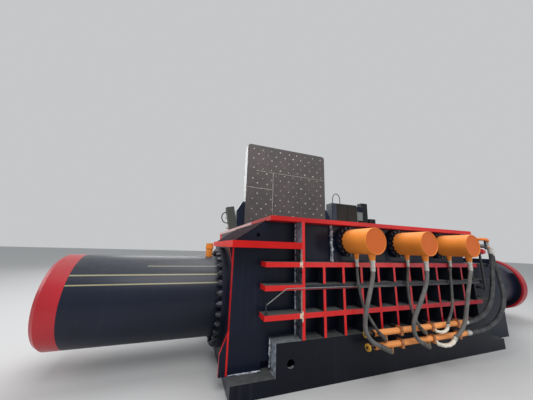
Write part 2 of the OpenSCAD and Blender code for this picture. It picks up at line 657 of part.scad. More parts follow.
// Branch fittings: each leaves the pipe's underside and turns up towards the viewer, to its hose's ferrule
branch_end = [
  [[1777, -198, 567], [2488, -198, 563], [3035, -192, 571]],
  [[1759, -222, 429], [2475, -222, 389], [3124, -216, 402]]
];
branch_from = [
  [[1905, -165, 473], [2628, -165, 475], [3030, -192, 530]],
  [[1965, -178, 335], [2640, -178, 318], [3098, -214, 364]]
];
branch_mid = [
  [[[1935, -150, 452], [1958, -130, 450], [1965, -120, 470]],
   [[2655, -150, 455], [2678, -130, 450], [2685, -120, 470]],
   [[3008, -192, 498], [2962, -188, 476], [2900, -176, 468], [2856, -148, 476]]],
  [[[2000, -160, 316], [2030, -135, 308], [2045, -120, 325]],
   [[2672, -160, 303], [2700, -135, 299], [2715, -120, 315]],
   [[3062, -212, 332], [2995, -205, 310], [2915, -190, 306], [2856, -152, 318]]]
];
branch_x = [[1965, 2685, 2842], [2045, 2715, 2840]];
branch_r = [16, 22];
module branch_elbows() color(elbow_cream) place() for (k = [0:1], i = [0:2]) difference() {
  tube(joined(branch_from[k][i], branch_mid[k][i], [branch_x[k][i], pipe_y, pipe_z[k] - pipe_r / 2]),
    branch_r[k] + (i == 2 ? 4 : 0), unit(branch_from[k][i] - branch_end[k][i]), [0, 0, 1], 16);
  translate([0, pipe_y, pipe_z[k]]) rod_x(branch_x[k][i] - 60, branch_x[k][i] + 60, pipe_r + 0.1);
}

// Routes of the free hoses, from the upper ferrule to the lower one
hose_r = [hose_a_r, hose_b_r];
ferrule_l = [95, 128];
function hose_top(k, i) =
  [lock_x + i * lock_pitch, nozzle_y[k], lock_z - lock_r - nozzle_l - ferrule_l[k]];
hose_mid = [
  [[[1645, -28, 1245], [1650, -38, 1090], [1660, -58, 960], [1670, -92, 835],
    [1700, -150, 720]],
   [[2560, -28, 1200], [2530, -38, 1020], [2515, -58, 870], [2500, -95, 745],
    [2480, -155, 645]],
   [[3500, -28, 1205], [3470, -38, 1025], [3420, -58, 870], [3330, -95, 745],
    [3155, -160, 645]]],
  [[[1630, -302, 1210], [1580, -296, 1050], [1530, -288, 885], [1505, -278, 745],
    [1525, -262, 615], [1620, -240, 505]],
   [[2570, -302, 1195], [2500, -298, 1040], [2405, -290, 885], [2310, -280, 735],
    [2280, -266, 595], [2345, -244, 475]],
   [[3475, -302, 1180], [3400, -296, 995], [3335, -288, 795], [3285, -276, 630],
    [3230, -258, 515], [3160, -236, 435]]]
];
supply_top = [[4650, -35, 1560], [4890, 60, 1530]];
supply_end = [[3570, pipe_y, pipe_up_z], [3610, pipe_y, pipe_low_z]];
supply_mid = [
  [[4630, -40, 1400], [4545, -55, 1180], [4430, -80, 980], [4280, -100, 780], [4040, -118, 625],
   [3790, pipe_y, 550], [3670, pipe_y, pipe_up_z]],
  [[4885, 50, 1380], [4865, 5, 1150], [4770, -55, 900], [4590, -100, 680], [4310, -118, 500],
   [3980, pipe_y, 405], [3730, pipe_y, pipe_low_z]]
];
arc_r = 14;
arc_hose = [[4330, 4100, 3170], [4330, 4100, 3300], [4345, 4100, 3420], [4405, 4100, 3520], [4495, 4100, 3560],
  [4585, 4100, 3520], [4640, 4100, 3420], [4650, 4100, 3300], [4650, 4100, 3170]];
loop_hose = [[414.5, 3500, 2440], [370, 3500, 2450], [305, 3500, 2400], [285, 3500, 2310], [320, 3500, 2215],
  [400, 3500, 2165], [472, 3500, 2170]];
function joined(a, list, b) = concat([a], list, [b]);
function unit(v) = v / norm(v);
function ring_axis(pts, i) =
  i == 0 ? unit(pts[1] - pts[0])
  : i == len(pts) - 1 ? unit(pts[i] - pts[i - 1])
  : unit(unit(pts[i] - pts[i - 1]) + unit(pts[i + 1] - pts[i]));
function spread(v) = abs(v[1]) > 0.9 ? [1, 0, 0] : [0, 1, 0];
module tube(pts, r, first, last, sides = 8) {
  n = len(pts);
  rings = [for (i = [0:n - 1])
    let (t = i == 0 ? first : i == n - 1 ? last : ring_axis(pts, i),
         u = unit(cross(t, spread(t))), v = cross(t, u))
    for (k = [0:sides - 1]) pts[i] + r * (u * cos(k * 360 / sides) + v * sin(k * 360 / sides))];
  walls = [for (i = [0:n - 2], k = [0:sides - 1])
    [i * sides + k, i * sides + (k + 1) % sides, (i + 1) * sides + (k + 1) % sides, (i + 1) * sides + k]];
  polyhedron(rings, concat(walls, [[for (k = [sides - 1:-1:0]) k]],
    [[for (k = [0:sides - 1]) (n - 1) * sides + k]]));
}
module rod_between(a, b, r) translate(a)
  rotate([0, acos((b[2] - a[2]) / norm(b - a)), atan2(b[1] - a[1], b[0] - a[0])]) cylinder(h = norm(b - a), r = r);
module hoses() color(hose_grey) place() {
  for (k = [0:1], i = [0:2])
    tube(joined(hose_top(k, i), hose_mid[k][i], branch_end[k][i]), hose_r[k] * 1.03, [0, 0, -1],
      unit(branch_from[k][i] - branch_end[k][i]));
  for (k = [0:1])
    tube(joined(supply_top[k], supply_mid[k], supply_end[k]), hose_c_r, [0, 0, -1], [-1, 0, 0]);
  tube(arc_hose, arc_r, [0, 0, 1], [0, 0, -1]);
  block_side = [cos(block_lean), 0, sin(block_lean)];
  tube(loop_hose, arc_r, -block_side, block_side);
}
module hose_ferrules() color(steel) place() {
  for (k = [0:1], i = [0:2]) {
    translate(hose_top(k, i)) {
      cylinder(h = ferrule_l[k], r = hose_r[k] + 4);
      translate([0, 0, ferrule_l[k] - 22]) cylinder(h = 22, r = hose_r[k] + 9, $fn = 6);
    }
    gap = 0.1 * unit(branch_from[k][i] - branch_end[k][i]);
    rod_between(branch_end[k][i] + gap, branch_from[k][i] - gap, hose_r[k] + 4);
  }
  for (k = [0:1]) {
    translate(supply_top[k]) cylinder(h = 100, r = hose_c_r + 5);
    translate([pipe_x1[k] + 40, pipe_y, pipe_z[k]])
      rotate([0, 90, 0]) cylinder(h = supply_end[k][0] - pipe_x1[k] - 40, r = hose_c_r + 5);
  }
}

// Steel supply pipes: forward along the body's right side, then to the right and down to the hoses
supply_r = 26;
supply_x = [4440, 4560];
supply_z = [1810, 1720];
supply_rear = 3700;
bend_r = 70;
module quarter_bend() rotate_extrude(angle = 90) translate([bend_r, 0]) circle(r = supply_r);
module supply_pipe(k) {
  top = supply_top[k] + [0, 0, 100];
  y = top[1];
  translate(top) cylinder(h = supply_z[k] - bend_r - top[2], r = supply_r);
  translate(top) cylinder(h = 14, r = hose_c_r + 8);
  translate([top[0] - bend_r, y, supply_z[k] - bend_r]) rotate([90, 0, 0]) quarter_bend();
  translate([0, y, supply_z[k]]) rod_x(supply_x[k] + bend_r, top[0] - bend_r, supply_r);
  translate([supply_x[k] + bend_r, y + bend_r, supply_z[k]]) rotate([0, 0, 180]) quarter_bend();
  translate([supply_x[k], 0, supply_z[k]]) rod_y(y + bend_r, supply_rear, supply_r);
}
module supply_pipes() color(lock_orange) place() for (k = [0:1]) supply_pipe(k);
module supply_brackets() color(body_black) place() difference() {
  union() {
    for (y = [520, 1500, 2600]) box([body_l, y, supply_z[1] - 60], [supply_x[1] + 45, y + 16, supply_z[0] + 60]);
    box([body_l, supply_rear, supply_z[1] - 60], [supply_x[1] + 60, supply_rear + 120, supply_z[0] + 60]);
  }
  for (k = [0:1]) translate([supply_x[k], 0, supply_z[k]]) rod_y(400, supply_rear, supply_r + seat);
}

// Leaning valve block on the deck behind the housing, and the valve cabinet beside the lid on its stand
stand_z = body_h + 560;
stand_y0 = base_w - 40;
stand_y1 = base_w + 420;
stand_x1 = body_l + 1990;
cabinet_x = [body_l - 60, body_l + 1040];
cabinet_h = 670;
block_lean = 12;
module valve_blocks() color(valve_grey) place() {
  difference() {
    translate([530, 3400, body_h - 40]) rotate([0, -block_lean, 0]) cube([205, 240, 700]);
    box([300, 3300, body_h - 200], [1000, 3700, body_h]);
  }
  box([cabinet_x[0], stand_y0, stand_z], [cabinet_x[1], base_w + 300, stand_z + cabinet_h]);
  box([cabinet_x[1], stand_y0 + 40, stand_z + 120], [cabinet_x[1] + 300, base_w + 260, stand_z + 440]);
  box([cabinet_x[1] + 290, stand_y0 + 80, stand_z], [cabinet_x[1] + 570, base_w + 260, stand_z + 800]);
  box([cabinet_x[1] + 620, stand_y0 + 60, stand_z], [stand_x1 - 40, base_w + 240, stand_z + 220]);
}
leg_w = 100;
module valve_stand() color(body_black) place() {
  box([body_l - 90, stand_y0 + 100, stand_z - 80], [stand_x1, stand_y1, stand_z]);
  box([body_l - 60, stand_y0, stand_z - 80], [stand_x1, stand_y0 + 100, stand_z]);
  box([body_l - 90, base_w + 60, body_h], [body_l, base_w + 260, stand_z - 80]);
  for (x = [body_l + 700, stand_x1 - leg_w], y = [stand_y0, stand_y1 - leg_w])
    box([x, y, 0], [x + leg_w, y + leg_w, stand_z - 80]);
}

// Thin grease line along the third rail
line_r = 5;
line_y = -line_r - seat;
line_z = rail_3_z - 38;
line_path = [[371, line_y, line_z - 168], [620, line_y, line_z], [body_l, line_y, line_z]];
module grease_line() color(steel) place()
  tube(line_path, line_r, unit(line_path[1] - line_path[0]), [1, 0, 0], 12);

base_frame();
front_wall();
front_ribs();
lock_pad();
top_frame();
shoulder_rail();
slope_plate();
left_end_plate();
left_wall();
lane_roof();
right_wall();
rear_plate();
rear_ribs();
lane_floor();
chamber_ledge();
tunnel();
tunnel_roof();
main_barrel();
main_end_cap();
flange_studs();
main_gland();
main_rod();
main_head();
counter_barrel();
counter_end_cap();
counter_rod();
counter_head();
side_barrel();
side_end_cap();
side_rod();
side_head();
port_fittings();
lock_barrels();
lock_flanges();
lock_flange_bolts();
lock_nozzles();
lock_pin_1();
lock_pin_2();
lock_pin_3();
lid_plate();
lid_wear_plates();
lid_arm_left();
lid_arm_right();
hinge_blocks();
hinge_pins();
lid_cylinder_left();
lid_cylinder_right();
lid_rod_left();
lid_rod_right();
lid_cylinder_brackets();
manifold_pipes();
pipe_clamps();
branch_elbows();
hose_ferrules();
supply_pipes();
supply_brackets();
hoses();
valve_blocks();
valve_stand();
grease_line();
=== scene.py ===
import bpy
import bmesh
import math
import random
from mathutils import Matrix, Vector


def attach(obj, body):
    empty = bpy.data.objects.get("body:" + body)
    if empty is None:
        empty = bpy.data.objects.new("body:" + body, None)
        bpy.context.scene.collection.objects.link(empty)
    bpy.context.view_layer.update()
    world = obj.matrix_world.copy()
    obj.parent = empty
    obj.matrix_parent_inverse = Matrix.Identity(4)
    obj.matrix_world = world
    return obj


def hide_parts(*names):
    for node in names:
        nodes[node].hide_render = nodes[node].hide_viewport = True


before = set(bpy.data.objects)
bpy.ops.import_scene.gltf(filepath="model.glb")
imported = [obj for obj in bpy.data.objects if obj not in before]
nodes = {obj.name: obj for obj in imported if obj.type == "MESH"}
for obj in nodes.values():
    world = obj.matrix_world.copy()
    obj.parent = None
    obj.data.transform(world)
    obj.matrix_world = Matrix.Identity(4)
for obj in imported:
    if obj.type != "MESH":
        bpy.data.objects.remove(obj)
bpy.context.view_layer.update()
random.seed(7)
mm = 0.001
corner = Vector((-2.34, -2.0, 0.0))  # the body's front left corner on the floor, as in the part's source
print("stage: frame loaded")


def at(x, y, z):
    return corner + Vector((x, y, z)) * mm


def putInScene(made):
    bpy.context.scene.collection.objects.link(made)


# Camera at the photograph's place: an ultra-wide phone lens at eye height near the left end
view = {"place": (-2.8963, -4.5316, 1.55), "yaw": 19.33, "pitch": 12.10, "roll": 1.79, "lens": 14.88,
        "sensor": 36}


def makeCamera():
    yaw, pitch, roll = (math.radians(view[k]) for k in ("yaw", "pitch", "roll"))
    forward = Vector((math.sin(yaw) * math.cos(pitch), math.cos(yaw) * math.cos(pitch), math.sin(pitch)))
    right = Vector((math.cos(yaw), -math.sin(yaw), 0))
    up = right.cross(forward)
    right, up = right * math.cos(roll) + up * math.sin(roll), up * math.cos(roll) - right * math.sin(roll)
    turn = Matrix((right, up, -forward)).transposed().to_4x4()
    data = bpy.data.cameras.new("camera")
    data.lens = view["lens"]
    data.sensor_width = view["sensor"]
    cam = bpy.data.objects.new("camera", data)
    cam.matrix_world = Matrix.Translation(view["place"]) @ turn
    putInScene(cam)
    bpy.context.scene.camera = cam


makeCamera()


# Materials: one function adds a node with its settings and links, and the others build on it.
# In the dictionaries a pattern is its size in mm, the noise's detail and roughness, and a stretch. A ramp is
# where it starts and ends, and the values it gives there. A bump is its strength and its distance in m.
def linear(code):
    parts = [int(code[i:i + 2], 16) / 255 for i in (1, 3, 5)]
    return tuple(c / 12.92 if c <= 0.04045 else ((c + 0.055) / 1.055) ** 2.4 for c in parts) + (1,)


def addNode(tree, kind, settings=None, links=None):
    made = tree.nodes.new(kind)
    for key, value in (settings or {}).items():
        if isinstance(key, int) or key in made.inputs:
            made.inputs[key].default_value = value
        else:
            setattr(made, key, value)
    for key, source in (links or {}).items():
        tree.links.new(source, made.inputs[key])
    return made


def newMaterial(name):
    made = bpy.data.materials.new(name)
    made.use_nodes = True
    tree = made.node_tree
    tree.nodes.clear()
    coords = addNode(tree, "ShaderNodeTexCoord")
    return made, tree, coords


def finishMaterial(tree, settings, links):
    shader = addNode(tree, "ShaderNodeBsdfPrincipled", settings, links)
    addNode(tree, "ShaderNodeOutputMaterial", links={"Surface": shader.outputs[0]})


def mixColour(tree, factor, first, second):
    mix = addNode(tree, "ShaderNodeMix", {"data_type": "RGBA"})
    for socket, value in ((mix.inputs[0], factor), (mix.inputs[6], first), (mix.inputs[7], second)):
        if isinstance(value, (tuple, float)):
            socket.default_value = value
        else:
            tree.links.new(value, socket)
    return mix.outputs[2]


def ramp(tree, source, low, high, fromValue=0.0, toValue=1.0):
    limits = {"From Min": low, "From Max": high, "To Min": fromValue, "To Max": toValue}
    return addNode(tree, "ShaderNodeMapRange", limits, {"Value": source}).outputs[0]


def combine(tree, operation, first, second):
    made = addNode(tree, "ShaderNodeMath", {"operation": operation}, {0: first})
    if isinstance(second, float):
        made.inputs[1].default_value = second
    else:
        tree.links.new(second, made.inputs[1])
    return made.outputs[0]


def noise(tree, coords, sizeMm, detail=3.0, rough=0.5, stretch=None):
    source = coords.outputs["Object"]
    if stretch:
        source = addNode(tree, "ShaderNodeMapping", {"Scale": stretch}, {"Vector": source}).outputs[0]
    made = addNode(tree, "ShaderNodeTexNoise", {"Scale": 1000 / sizeMm, "Detail": detail, "Roughness": rough},
                   {"Vector": source})
    return made.outputs[0]


def noises(tree, coords, table, *keys):
    return [noise(tree, coords, *table[key]) for key in keys]


def bump(tree, height, strength, distance, under=None, invert=False):
    return addNode(tree, "ShaderNodeBump", {"Strength": strength, "Distance": distance, "invert": invert},
                   {"Height": height, **({"Normal": under} if under else {})}).outputs[0]


longAxis = (0, *at(0, 1150, 825).yz)  # of the main and counter cylinders, seen from the end
flakes = (45, 5.0, 0.75)  # the pattern of worn paint


def shade(code, share):
    return tuple(min(1, c * share) for c in linear(code)[:3]) + (1,)


# Where a second colour lies on a node: limits of its place in mm from the front left corner (x, y, z), of its
# distance from the long cylinders' axis (r) and of its normal (nx, ny, nz). "patches" breaks it up into
# flakes, and "fade" lets it come in along x.
def areaMask(tree, coords, area):
    normal = addNode(tree, "ShaderNodeSeparateXYZ", links={0: coords.outputs["Normal"]}).outputs
    place = addNode(tree, "ShaderNodeSeparateXYZ", links={0: coords.outputs["Object"]}).outputs
    mask = None
    for key, (low, high) in area["where"].items():
        scale, shift = mm, 0.0
        if key == "r":
            flat = addNode(tree, "ShaderNodeCombineXYZ", links={1: place[1], 2: place[2]}).outputs[0]
            source = addNode(tree, "ShaderNodeVectorMath", {"operation": "DISTANCE", 1: longAxis},
                             {0: flat}).outputs[1]
        elif key[0] == "n":
            source, scale = normal["xyz".index(key[1])], 1.0
        else:
            source, shift = place["xyz".index(key)], corner["xyz".index(key)]
        middle, half = (low + high) / 2 * scale + shift, (high - low) / 2 * scale
        inside = addNode(tree, "ShaderNodeMath", {"operation": "COMPARE", 1: middle, 2: half},
                         {0: source}).outputs[0]
        mask = combine(tree, "MULTIPLY", mask, inside) if mask else inside
    if "patches" in area:
        mask = combine(tree, "MULTIPLY", mask, ramp(tree, noise(tree, coords, *flakes), *area["patches"]))
    if "fade" in area:
        low, high = (at(x, 0, 0).x for x in area["fade"])
        mask = combine(tree, "MULTIPLY", mask, ramp(tree, place[0], low, high))
    return mask


# The areas are a key of secondColours, or empty
def paintAreas(tree, coords, colour, areas):
    for area in secondColours.get(areas, ()):
        colour = mixColour(tree, areaMask(tree, coords, area), colour, linear(area["code"]))
    return colour


# Alkyd enamel sprayed on welded plate: glossy, faintly uneven, dusty on what faces up, with faint run marks.
# The orange peel is drawn at 14 mm, coarser than its real 3 to 5, so that it shows.
enamel = {"broad": (800, 4.0), "peel": (14, 3.0), "dust": (60, 5.0, 0.7),
          "runs": (70, 4.0, 0.65, (1.0, 1.0, 0.06)), "shades": (0.82, 1.1), "shadeRamp": (0.35, 0.65),
          "upRamp": (0.45, 0.95), "dustRamp": (0.3, 0.7, 0.5, 1.0), "runRamp": (0.55, 0.8),
          "filmRamp": (0.4, 0.7, 0.04, 0.22), "peelBump": (0.1, 0.002), "dustBump": (0.2, 0.004),
          "dulled": 0.6, "coatRough": 0.15, "dustRough": 0.85}


def makeEnamel(name, code, rough=0.36, dust=0.55, dustCode="#70716f", coat=0.06, gloss=0.16,
               areas="", top=""):
    made, tree, coords = newMaterial(name)
    broad, peel, spots, runs = noises(tree, coords, enamel, "broad", "peel", "dust", "runs")
    dark, light = (shade(code, share) for share in enamel["shades"])
    colour = mixColour(tree, ramp(tree, broad, *enamel["shadeRamp"]), dark, light)
    colour = paintAreas(tree, coords, colour, areas)
    height = addNode(tree, "ShaderNodeSeparateXYZ", links={0: coords.outputs["Normal"]}).outputs[2]
    lying = combine(tree, "MULTIPLY", ramp(tree, height, *enamel["upRamp"]),
                    ramp(tree, spots, *enamel["dustRamp"]))
    film = combine(tree, "MULTIPLY", ramp(tree, runs, *enamel["runRamp"]),
                   ramp(tree, broad, *enamel["filmRamp"]))
    cover = combine(tree, "MULTIPLY", combine(tree, "MAXIMUM", lying, film), dust)
    colour = mixColour(tree, cover, colour, linear(dustCode))
    colour = paintAreas(tree, coords, colour, top)
    relief = bump(tree, spots, *enamel["dustBump"], bump(tree, peel, *enamel["peelBump"]))
    finishMaterial(tree, {"Coat Weight": coat, "Coat Roughness": enamel["coatRough"],
                          "Specular IOR Level": gloss},
                   {"Base Color": colour, "Normal": relief,
                    "Roughness": ramp(tree, cover, 0.0, enamel["dulled"], rough, enamel["dustRough"])})
    return made


# Hot rolled wear plate: brown-grey scale in blotches, with scrape marks and a pitted grain.
# The pits are drawn at 14 mm, coarser than their real 3 to 6, so that they show.
wearPlate = {"blotches": (500, 5.0, 0.6), "pits": (14, 5.0, 0.75),
             "scrapes": (25, 4.0, 0.7, (1.0, 1.0, 0.08)), "scrapeCode": "#8f8a84", "pitCode": "#1f1c1c",
             "rustRamp": (0.35, 0.7), "bareRamp": (0.58, 0.75), "pitRamp": (0.5, 0.68, 0.0, 0.7),
             "bump": (0.5, 0.003), "metal": 0.2, "roughRamp": (0.3, 0.8, 0.78, 0.55)}


def makeWearPlate(name, code, rustCode, polish):
    made, tree, coords = newMaterial(name)
    blotches, pits, scrapes = noises(tree, coords, wearPlate, "blotches", "pits", "scrapes")
    colour = mixColour(tree, ramp(tree, blotches, *wearPlate["rustRamp"]), linear(code), linear(rustCode))
    bare = ramp(tree, scrapes, *wearPlate["bareRamp"], 0.0, polish * 2)
    colour = mixColour(tree, bare, colour, linear(wearPlate["scrapeCode"]))
    colour = mixColour(tree, ramp(tree, pits, *wearPlate["pitRamp"]), colour, linear(wearPlate["pitCode"]))
    relief = bump(tree, pits, *wearPlate["bump"])
    finishMaterial(tree, {"Metallic": wearPlate["metal"]},
                   {"Base Color": colour, "Normal": relief,
                    "Roughness": ramp(tree, scrapes, *wearPlate["roughRamp"])})
    return made


# Zinc plated, painted or bare steel parts: pale, slightly cloudy with grime, with a fine grain
steelParts = {"cloud": (40, 4.0), "grain": (3, 3.0, 0.7), "grimeCode": "#4b443c", "grimeRamp": (0.4, 0.75),
              "bump": (0.15, 0.0008), "roughRamp": (0.3, 0.7), "dulled": 0.25}


def makeSteel(name, code, rough=0.35, grime=0.3, metal=0.85, areas=""):
    made, tree, coords = newMaterial(name)
    cloud, grain = noises(tree, coords, steelParts, "cloud", "grain")
    colour = paintAreas(tree, coords, linear(code), areas)
    dirt = ramp(tree, cloud, *steelParts["grimeRamp"], 0.0, grime)
    colour = mixColour(tree, dirt, colour, linear(steelParts["grimeCode"]))
    relief = bump(tree, grain, *steelParts["bump"])
    roughness = ramp(tree, cloud, *steelParts["roughRamp"], rough, rough + steelParts["dulled"])
    finishMaterial(tree, {"Metallic": metal},
                   {"Base Color": colour, "Normal": relief, "Roughness": roughness})
    return made


# Hard chrome plating, ground: bright, its mirror dulled by a film of oil and faint grinding marks.
# The marks are drawn at 6 mm, coarser than real ones, so that they show.
chrome = {"code": "#93969b", "film": (120, 3.0), "marks": (6, 2.0, 0.5, (0.1, 0.1, 1.0)),
          "bump": (0.05, 0.0005), "roughRamp": (0.3, 0.7, 0.32, 0.46)}


def makeChrome(name):
    made, tree, coords = newMaterial(name)
    film, marks = noises(tree, coords, chrome, "film", "marks")
    relief = bump(tree, marks, *chrome["bump"])
    finishMaterial(tree, {"Base Color": linear(chrome["code"]), "Metallic": 1.0},
                   {"Roughness": ramp(tree, film, *chrome["roughRamp"]), "Normal": relief})
    return made


# Chequered plate: rolled bars that cross at right angles, with brown primer worn on them.
# The pitch is drawn at 46 mm, coarser than the real 28, so that it shows. The slope is about 1.2 times as
# long as its plan, so x is stretched by 'slope' to keep the bars about square.
chequer = {"pitch": 46.0, "slope": 1.25, "barCode": "#43323b", "groundCode": "#140b10",
           "groundRamp": (0.12, 0.4), "dirt": (120, 4.0, 0.6), "dirtCode": "#2f272a",
           "dirtRamp": (0.45, 0.75, 0.0, 0.25), "bump": (0.8, 0.003), "rough": 0.85, "gloss": 0.03}


def makeChequer(name):
    made, tree, coords = newMaterial(name)
    split = addNode(tree, "ShaderNodeSeparateXYZ", links={0: coords.outputs["Object"]})
    waves = []
    for sign in (1.0, -1.0):
        along = addNode(tree, "ShaderNodeMath", {"operation": "MULTIPLY_ADD", 1: sign * chequer["slope"]},
                        {0: split.outputs[0], 2: split.outputs[1]})
        sine = combine(tree, "MULTIPLY", along.outputs[0], 1000 / chequer["pitch"] * math.pi)
        sine = addNode(tree, "ShaderNodeMath", {"operation": "SINE"}, {0: sine}).outputs[0]
        waves.append(addNode(tree, "ShaderNodeMath", {"operation": "ABSOLUTE"}, {0: sine}).outputs[0])
    ground = ramp(tree, combine(tree, "MINIMUM", *waves), *chequer["groundRamp"])
    dirt = ramp(tree, noise(tree, coords, *chequer["dirt"]), *chequer["dirtRamp"])
    colour = mixColour(tree, ground, linear(chequer["barCode"]), linear(chequer["groundCode"]))
    colour = mixColour(tree, dirt, colour, linear(chequer["dirtCode"]))
    relief = bump(tree, ground, *chequer["bump"], invert=True)
    finishMaterial(tree, {"Roughness": chequer["rough"], "Specular IOR Level": chequer["gloss"]},
                   {"Base Color": colour, "Normal": relief})
    return made


# Hydraulic hose: wrapped rubber cover, matt, with dust in patches of 90 mm and the cloth's rings every 5 mm,
# which is a wave scale of 60 on the UV's metres
hoseCover = {"rings": 60.0, "waver": 0.6, "dust": (90, 4.0), "dustRamp": (0.4, 0.7), "bump": (0.35, 0.0015),
             "rough": 0.55}


def makeHoseRubber(name, code, dustCode):
    made, tree, coords = newMaterial(name)
    waves = {"Scale": hoseCover["rings"], "Distortion": hoseCover["waver"], "bands_direction": "X"}
    wrap = addNode(tree, "ShaderNodeTexWave", waves, {"Vector": coords.outputs["UV"]})
    dust = ramp(tree, noise(tree, coords, *hoseCover["dust"]), *hoseCover["dustRamp"])
    colour = mixColour(tree, dust, linear(code), linear(dustCode))
    relief = bump(tree, wrap.outputs[1], *hoseCover["bump"])
    finishMaterial(tree, {"Roughness": hoseCover["rough"]}, {"Base Color": colour, "Normal": relief})
    return made


leftFace = {"nx": (-1.1, -0.6)}
frontFace = {"ny": (-1.1, -0.6)}
housingRib = {**leftFace, "x": (800, 835)}
farCapInside = {**leftFace, "r": (0, 548)}
secondColours = {
    "ribs": [
        # Painted light: the ribs' left faces are grey-blue in patches, lighter as if lit from the left
        {"code": "#252a35", "where": leftFace, "patches": (0.2, 0.9)},
        # The housing's thick rib: its left face painted lighter grey as if lit from the left, with pale
        # scuffs in patches, and bare metal by its front edge
        {"code": "#7f838d", "where": housingRib, "patches": (0.4, 0.75)},
        {"code": "#8d93a0", "where": {**housingRib, "z": (1600, 1900)}, "patches": (0.25, 0.55)},
        {"code": "#d9d2c4", "where": {**housingRib, "y": (-5, 40), "z": (1381, 1545)}, "patches": (0.3, 0.5)},
        {"code": "#c9c3b4", "where": {**housingRib, "y": (-5, 38), "z": (795, 1055)}, "patches": (0.3, 0.5)},
        # Red on the rails' left ends and on every front face, with a painted shade that makes it deeper
        # towards the right
        {"code": "#cf1c1b", "where": {**leftFace, "x": (340, 360)}},
        {"code": "#cf1c1b", "where": frontFace},
        {"code": "#9c1a2c", "where": frontFace, "fade": (1500, 3700)},
        # The third rail is black behind the grease line, with a painted shadow of the line in dull red below
        # it
        {"code": "#10141f", "where": {**frontFace, "x": (872, 4300), "z": (1067, 1120)}},
        {"code": "#7a1d28", "where": {**frontFace, "x": (872, 4300), "z": (1050, 1067)}},
        # Bare weld metal where the thick rib meets the fourth and second rails
        {"code": "#cfc4ae", "where": {**frontFace, "x": (800, 848), "z": (700, 815)},
         "patches": (0.36, 0.5)},
        {"code": "#cfc4ae", "where": {**frontFace, "x": (800, 842), "z": (1310, 1395)},
         "patches": (0.38, 0.52)},
        # Black where the rails run on, and on the last column of ribs
        {"code": "#101319", "where": {"x": (4275, 4700)}},
        *({"code": "#101319", "where": {"x": (4105, 4150), "z": span}}
          for span in ((500, 735), (795, 1055), (1115, 1321))),
    ],
    # Red lines down the wall's left edge and its gusset
    "wall": [
        {"code": "#c81d1c", "where": {**leftFace, "x": (-100, 5), "y": (180, 285), "z": (165, 1545)}},
        {"code": "#c81d1c", "where": {**frontFace, "x": (-20, 0), "y": (180, 190), "z": (165, 1545)}},
    ],
    # The base's left end is a painted lighter grey, as if lit from the left, and scuffed at the step, whose
    # top is dusty
    "base": [
        {"code": "#3c414b", "where": {**leftFace, "x": (-10, 510)}},
        {"code": "#a3abb5", "where": {**leftFace, "x": (490, 510), "y": (-5, 150)}, "patches": (0.36, 0.58)},
    ],
    "baseTop": [
        {"code": "#8b9094", "where": {"nz": (0.6, 1.1), "x": (490, 830), "y": (-5, 300)},
         "patches": (0.3, 0.75)},
    ],
    # Painted reflections of the ceiling lights: pale stripes along the main barrel
    "barrel": [
        {"code": "#8f8a6c", "where": {"x": (-1778, -62), "y": (560, 760), "z": (1058, 1072)}},
        {"code": "#8f8a6c", "where": {"x": (-1778, -62), "y": (560, 780), "z": (1158, 1172)}},
        {"code": "#6f6d60", "where": {"x": (-1000, -62), "y": (780, 920), "z": (1256, 1268)}},
    ],
    # The body's left face behind the slope is brown with dust
    "black": [
        {"code": "#2b2027", "where": {**leftFace, "x": (395, 405), "y": (1950, 4000), "z": (1560, 1900)}},
    ],
    # Left edges, painted lighter as if lit from the left: the lid's grey, the shoulder rail's a bright red
    # painted highlight, and the top frame's pale pink in patches
    "lid": [{"code": "#6f7272", "where": leftFace}],
    "red": [{"code": "#ea2a20", "where": {**leftFace, "x": (-65, -50)}}],
    "frameRed": [{"code": "#e2c4bf", "where": {**leftFace, "x": (380, 420), "y": (900, 4600)},
                  "patches": (0.15, 0.6)}],
    # The far cap's inner face is black, and greyer in its upper part
    "farBand": [{"code": "#10141f", "where": farCapInside},
                {"code": "#5c5e63", "where": {**farCapInside, "z": (1120, 1500)}}],
    # Painted shade: the lock barrels' front faces are a deeper orange than their lit tops
    "orange": [{"code": "#c45e20", "where": {"ny": (-1.1, -0.9), "y": (-400, -370)}}],
    # Black nuts and yellow caps at the manifold pipes' left ends
    "pipe": [
        {"code": "#1d1b1a", "where": {"x": (1658, 1760)}},
        {"code": "#dba63c", "where": {"x": (1600, 1663)}},
        {"code": "#1d1b1a", "where": {"x": (1681, 1769), "z": (320, 450)}},
        {"code": "#dba63c", "where": {"x": (1655, 1681), "z": (320, 450)}},
    ],
    # The supply pipes are grey where they run back, with one pale fitting in front
    "supply": [
        {"code": "#b9bcb9", "where": {"y": (10, 4000), "z": (1600, 1750)}},
        {"code": "#c9c9cc", "where": {"x": (4622, 4700), "y": (-80, 10), "z": (1600, 1790)}},
    ],
    # The valve blocks, each by its span along x
    "cabinet": [{"code": code, "where": {"x": span}} for code, span in (
        ("#464b47", (300, 900)), ("#2c2724", (4390, 5289)), ("#383d49", (4100, 4390)),
        ("#777b79", (5289, 5579)), ("#1b1e21", (5579, 6300)))],
    "clampFoot": [{"code": "#0d0f14", "where": {"y": (-82, 10)}}],
    "dullFerrules": [{"code": "#5f5e5c", "where": {"x": (1700, 2750), "z": (300, 600)}}],
    "bareWeld": [{"code": "#d3d5dc", "where": {"z": (150, 1900)}, "patches": (0.42, 0.58)}],
    "lineInShade": [{"code": "#4c4d52", "where": {"x": (1300, 4700)}, "fade": (1300, 2400)}],
    "paleElbow": [{"code": "#e2dbcb", "where": {"x": (2745, 3200)}}],
}
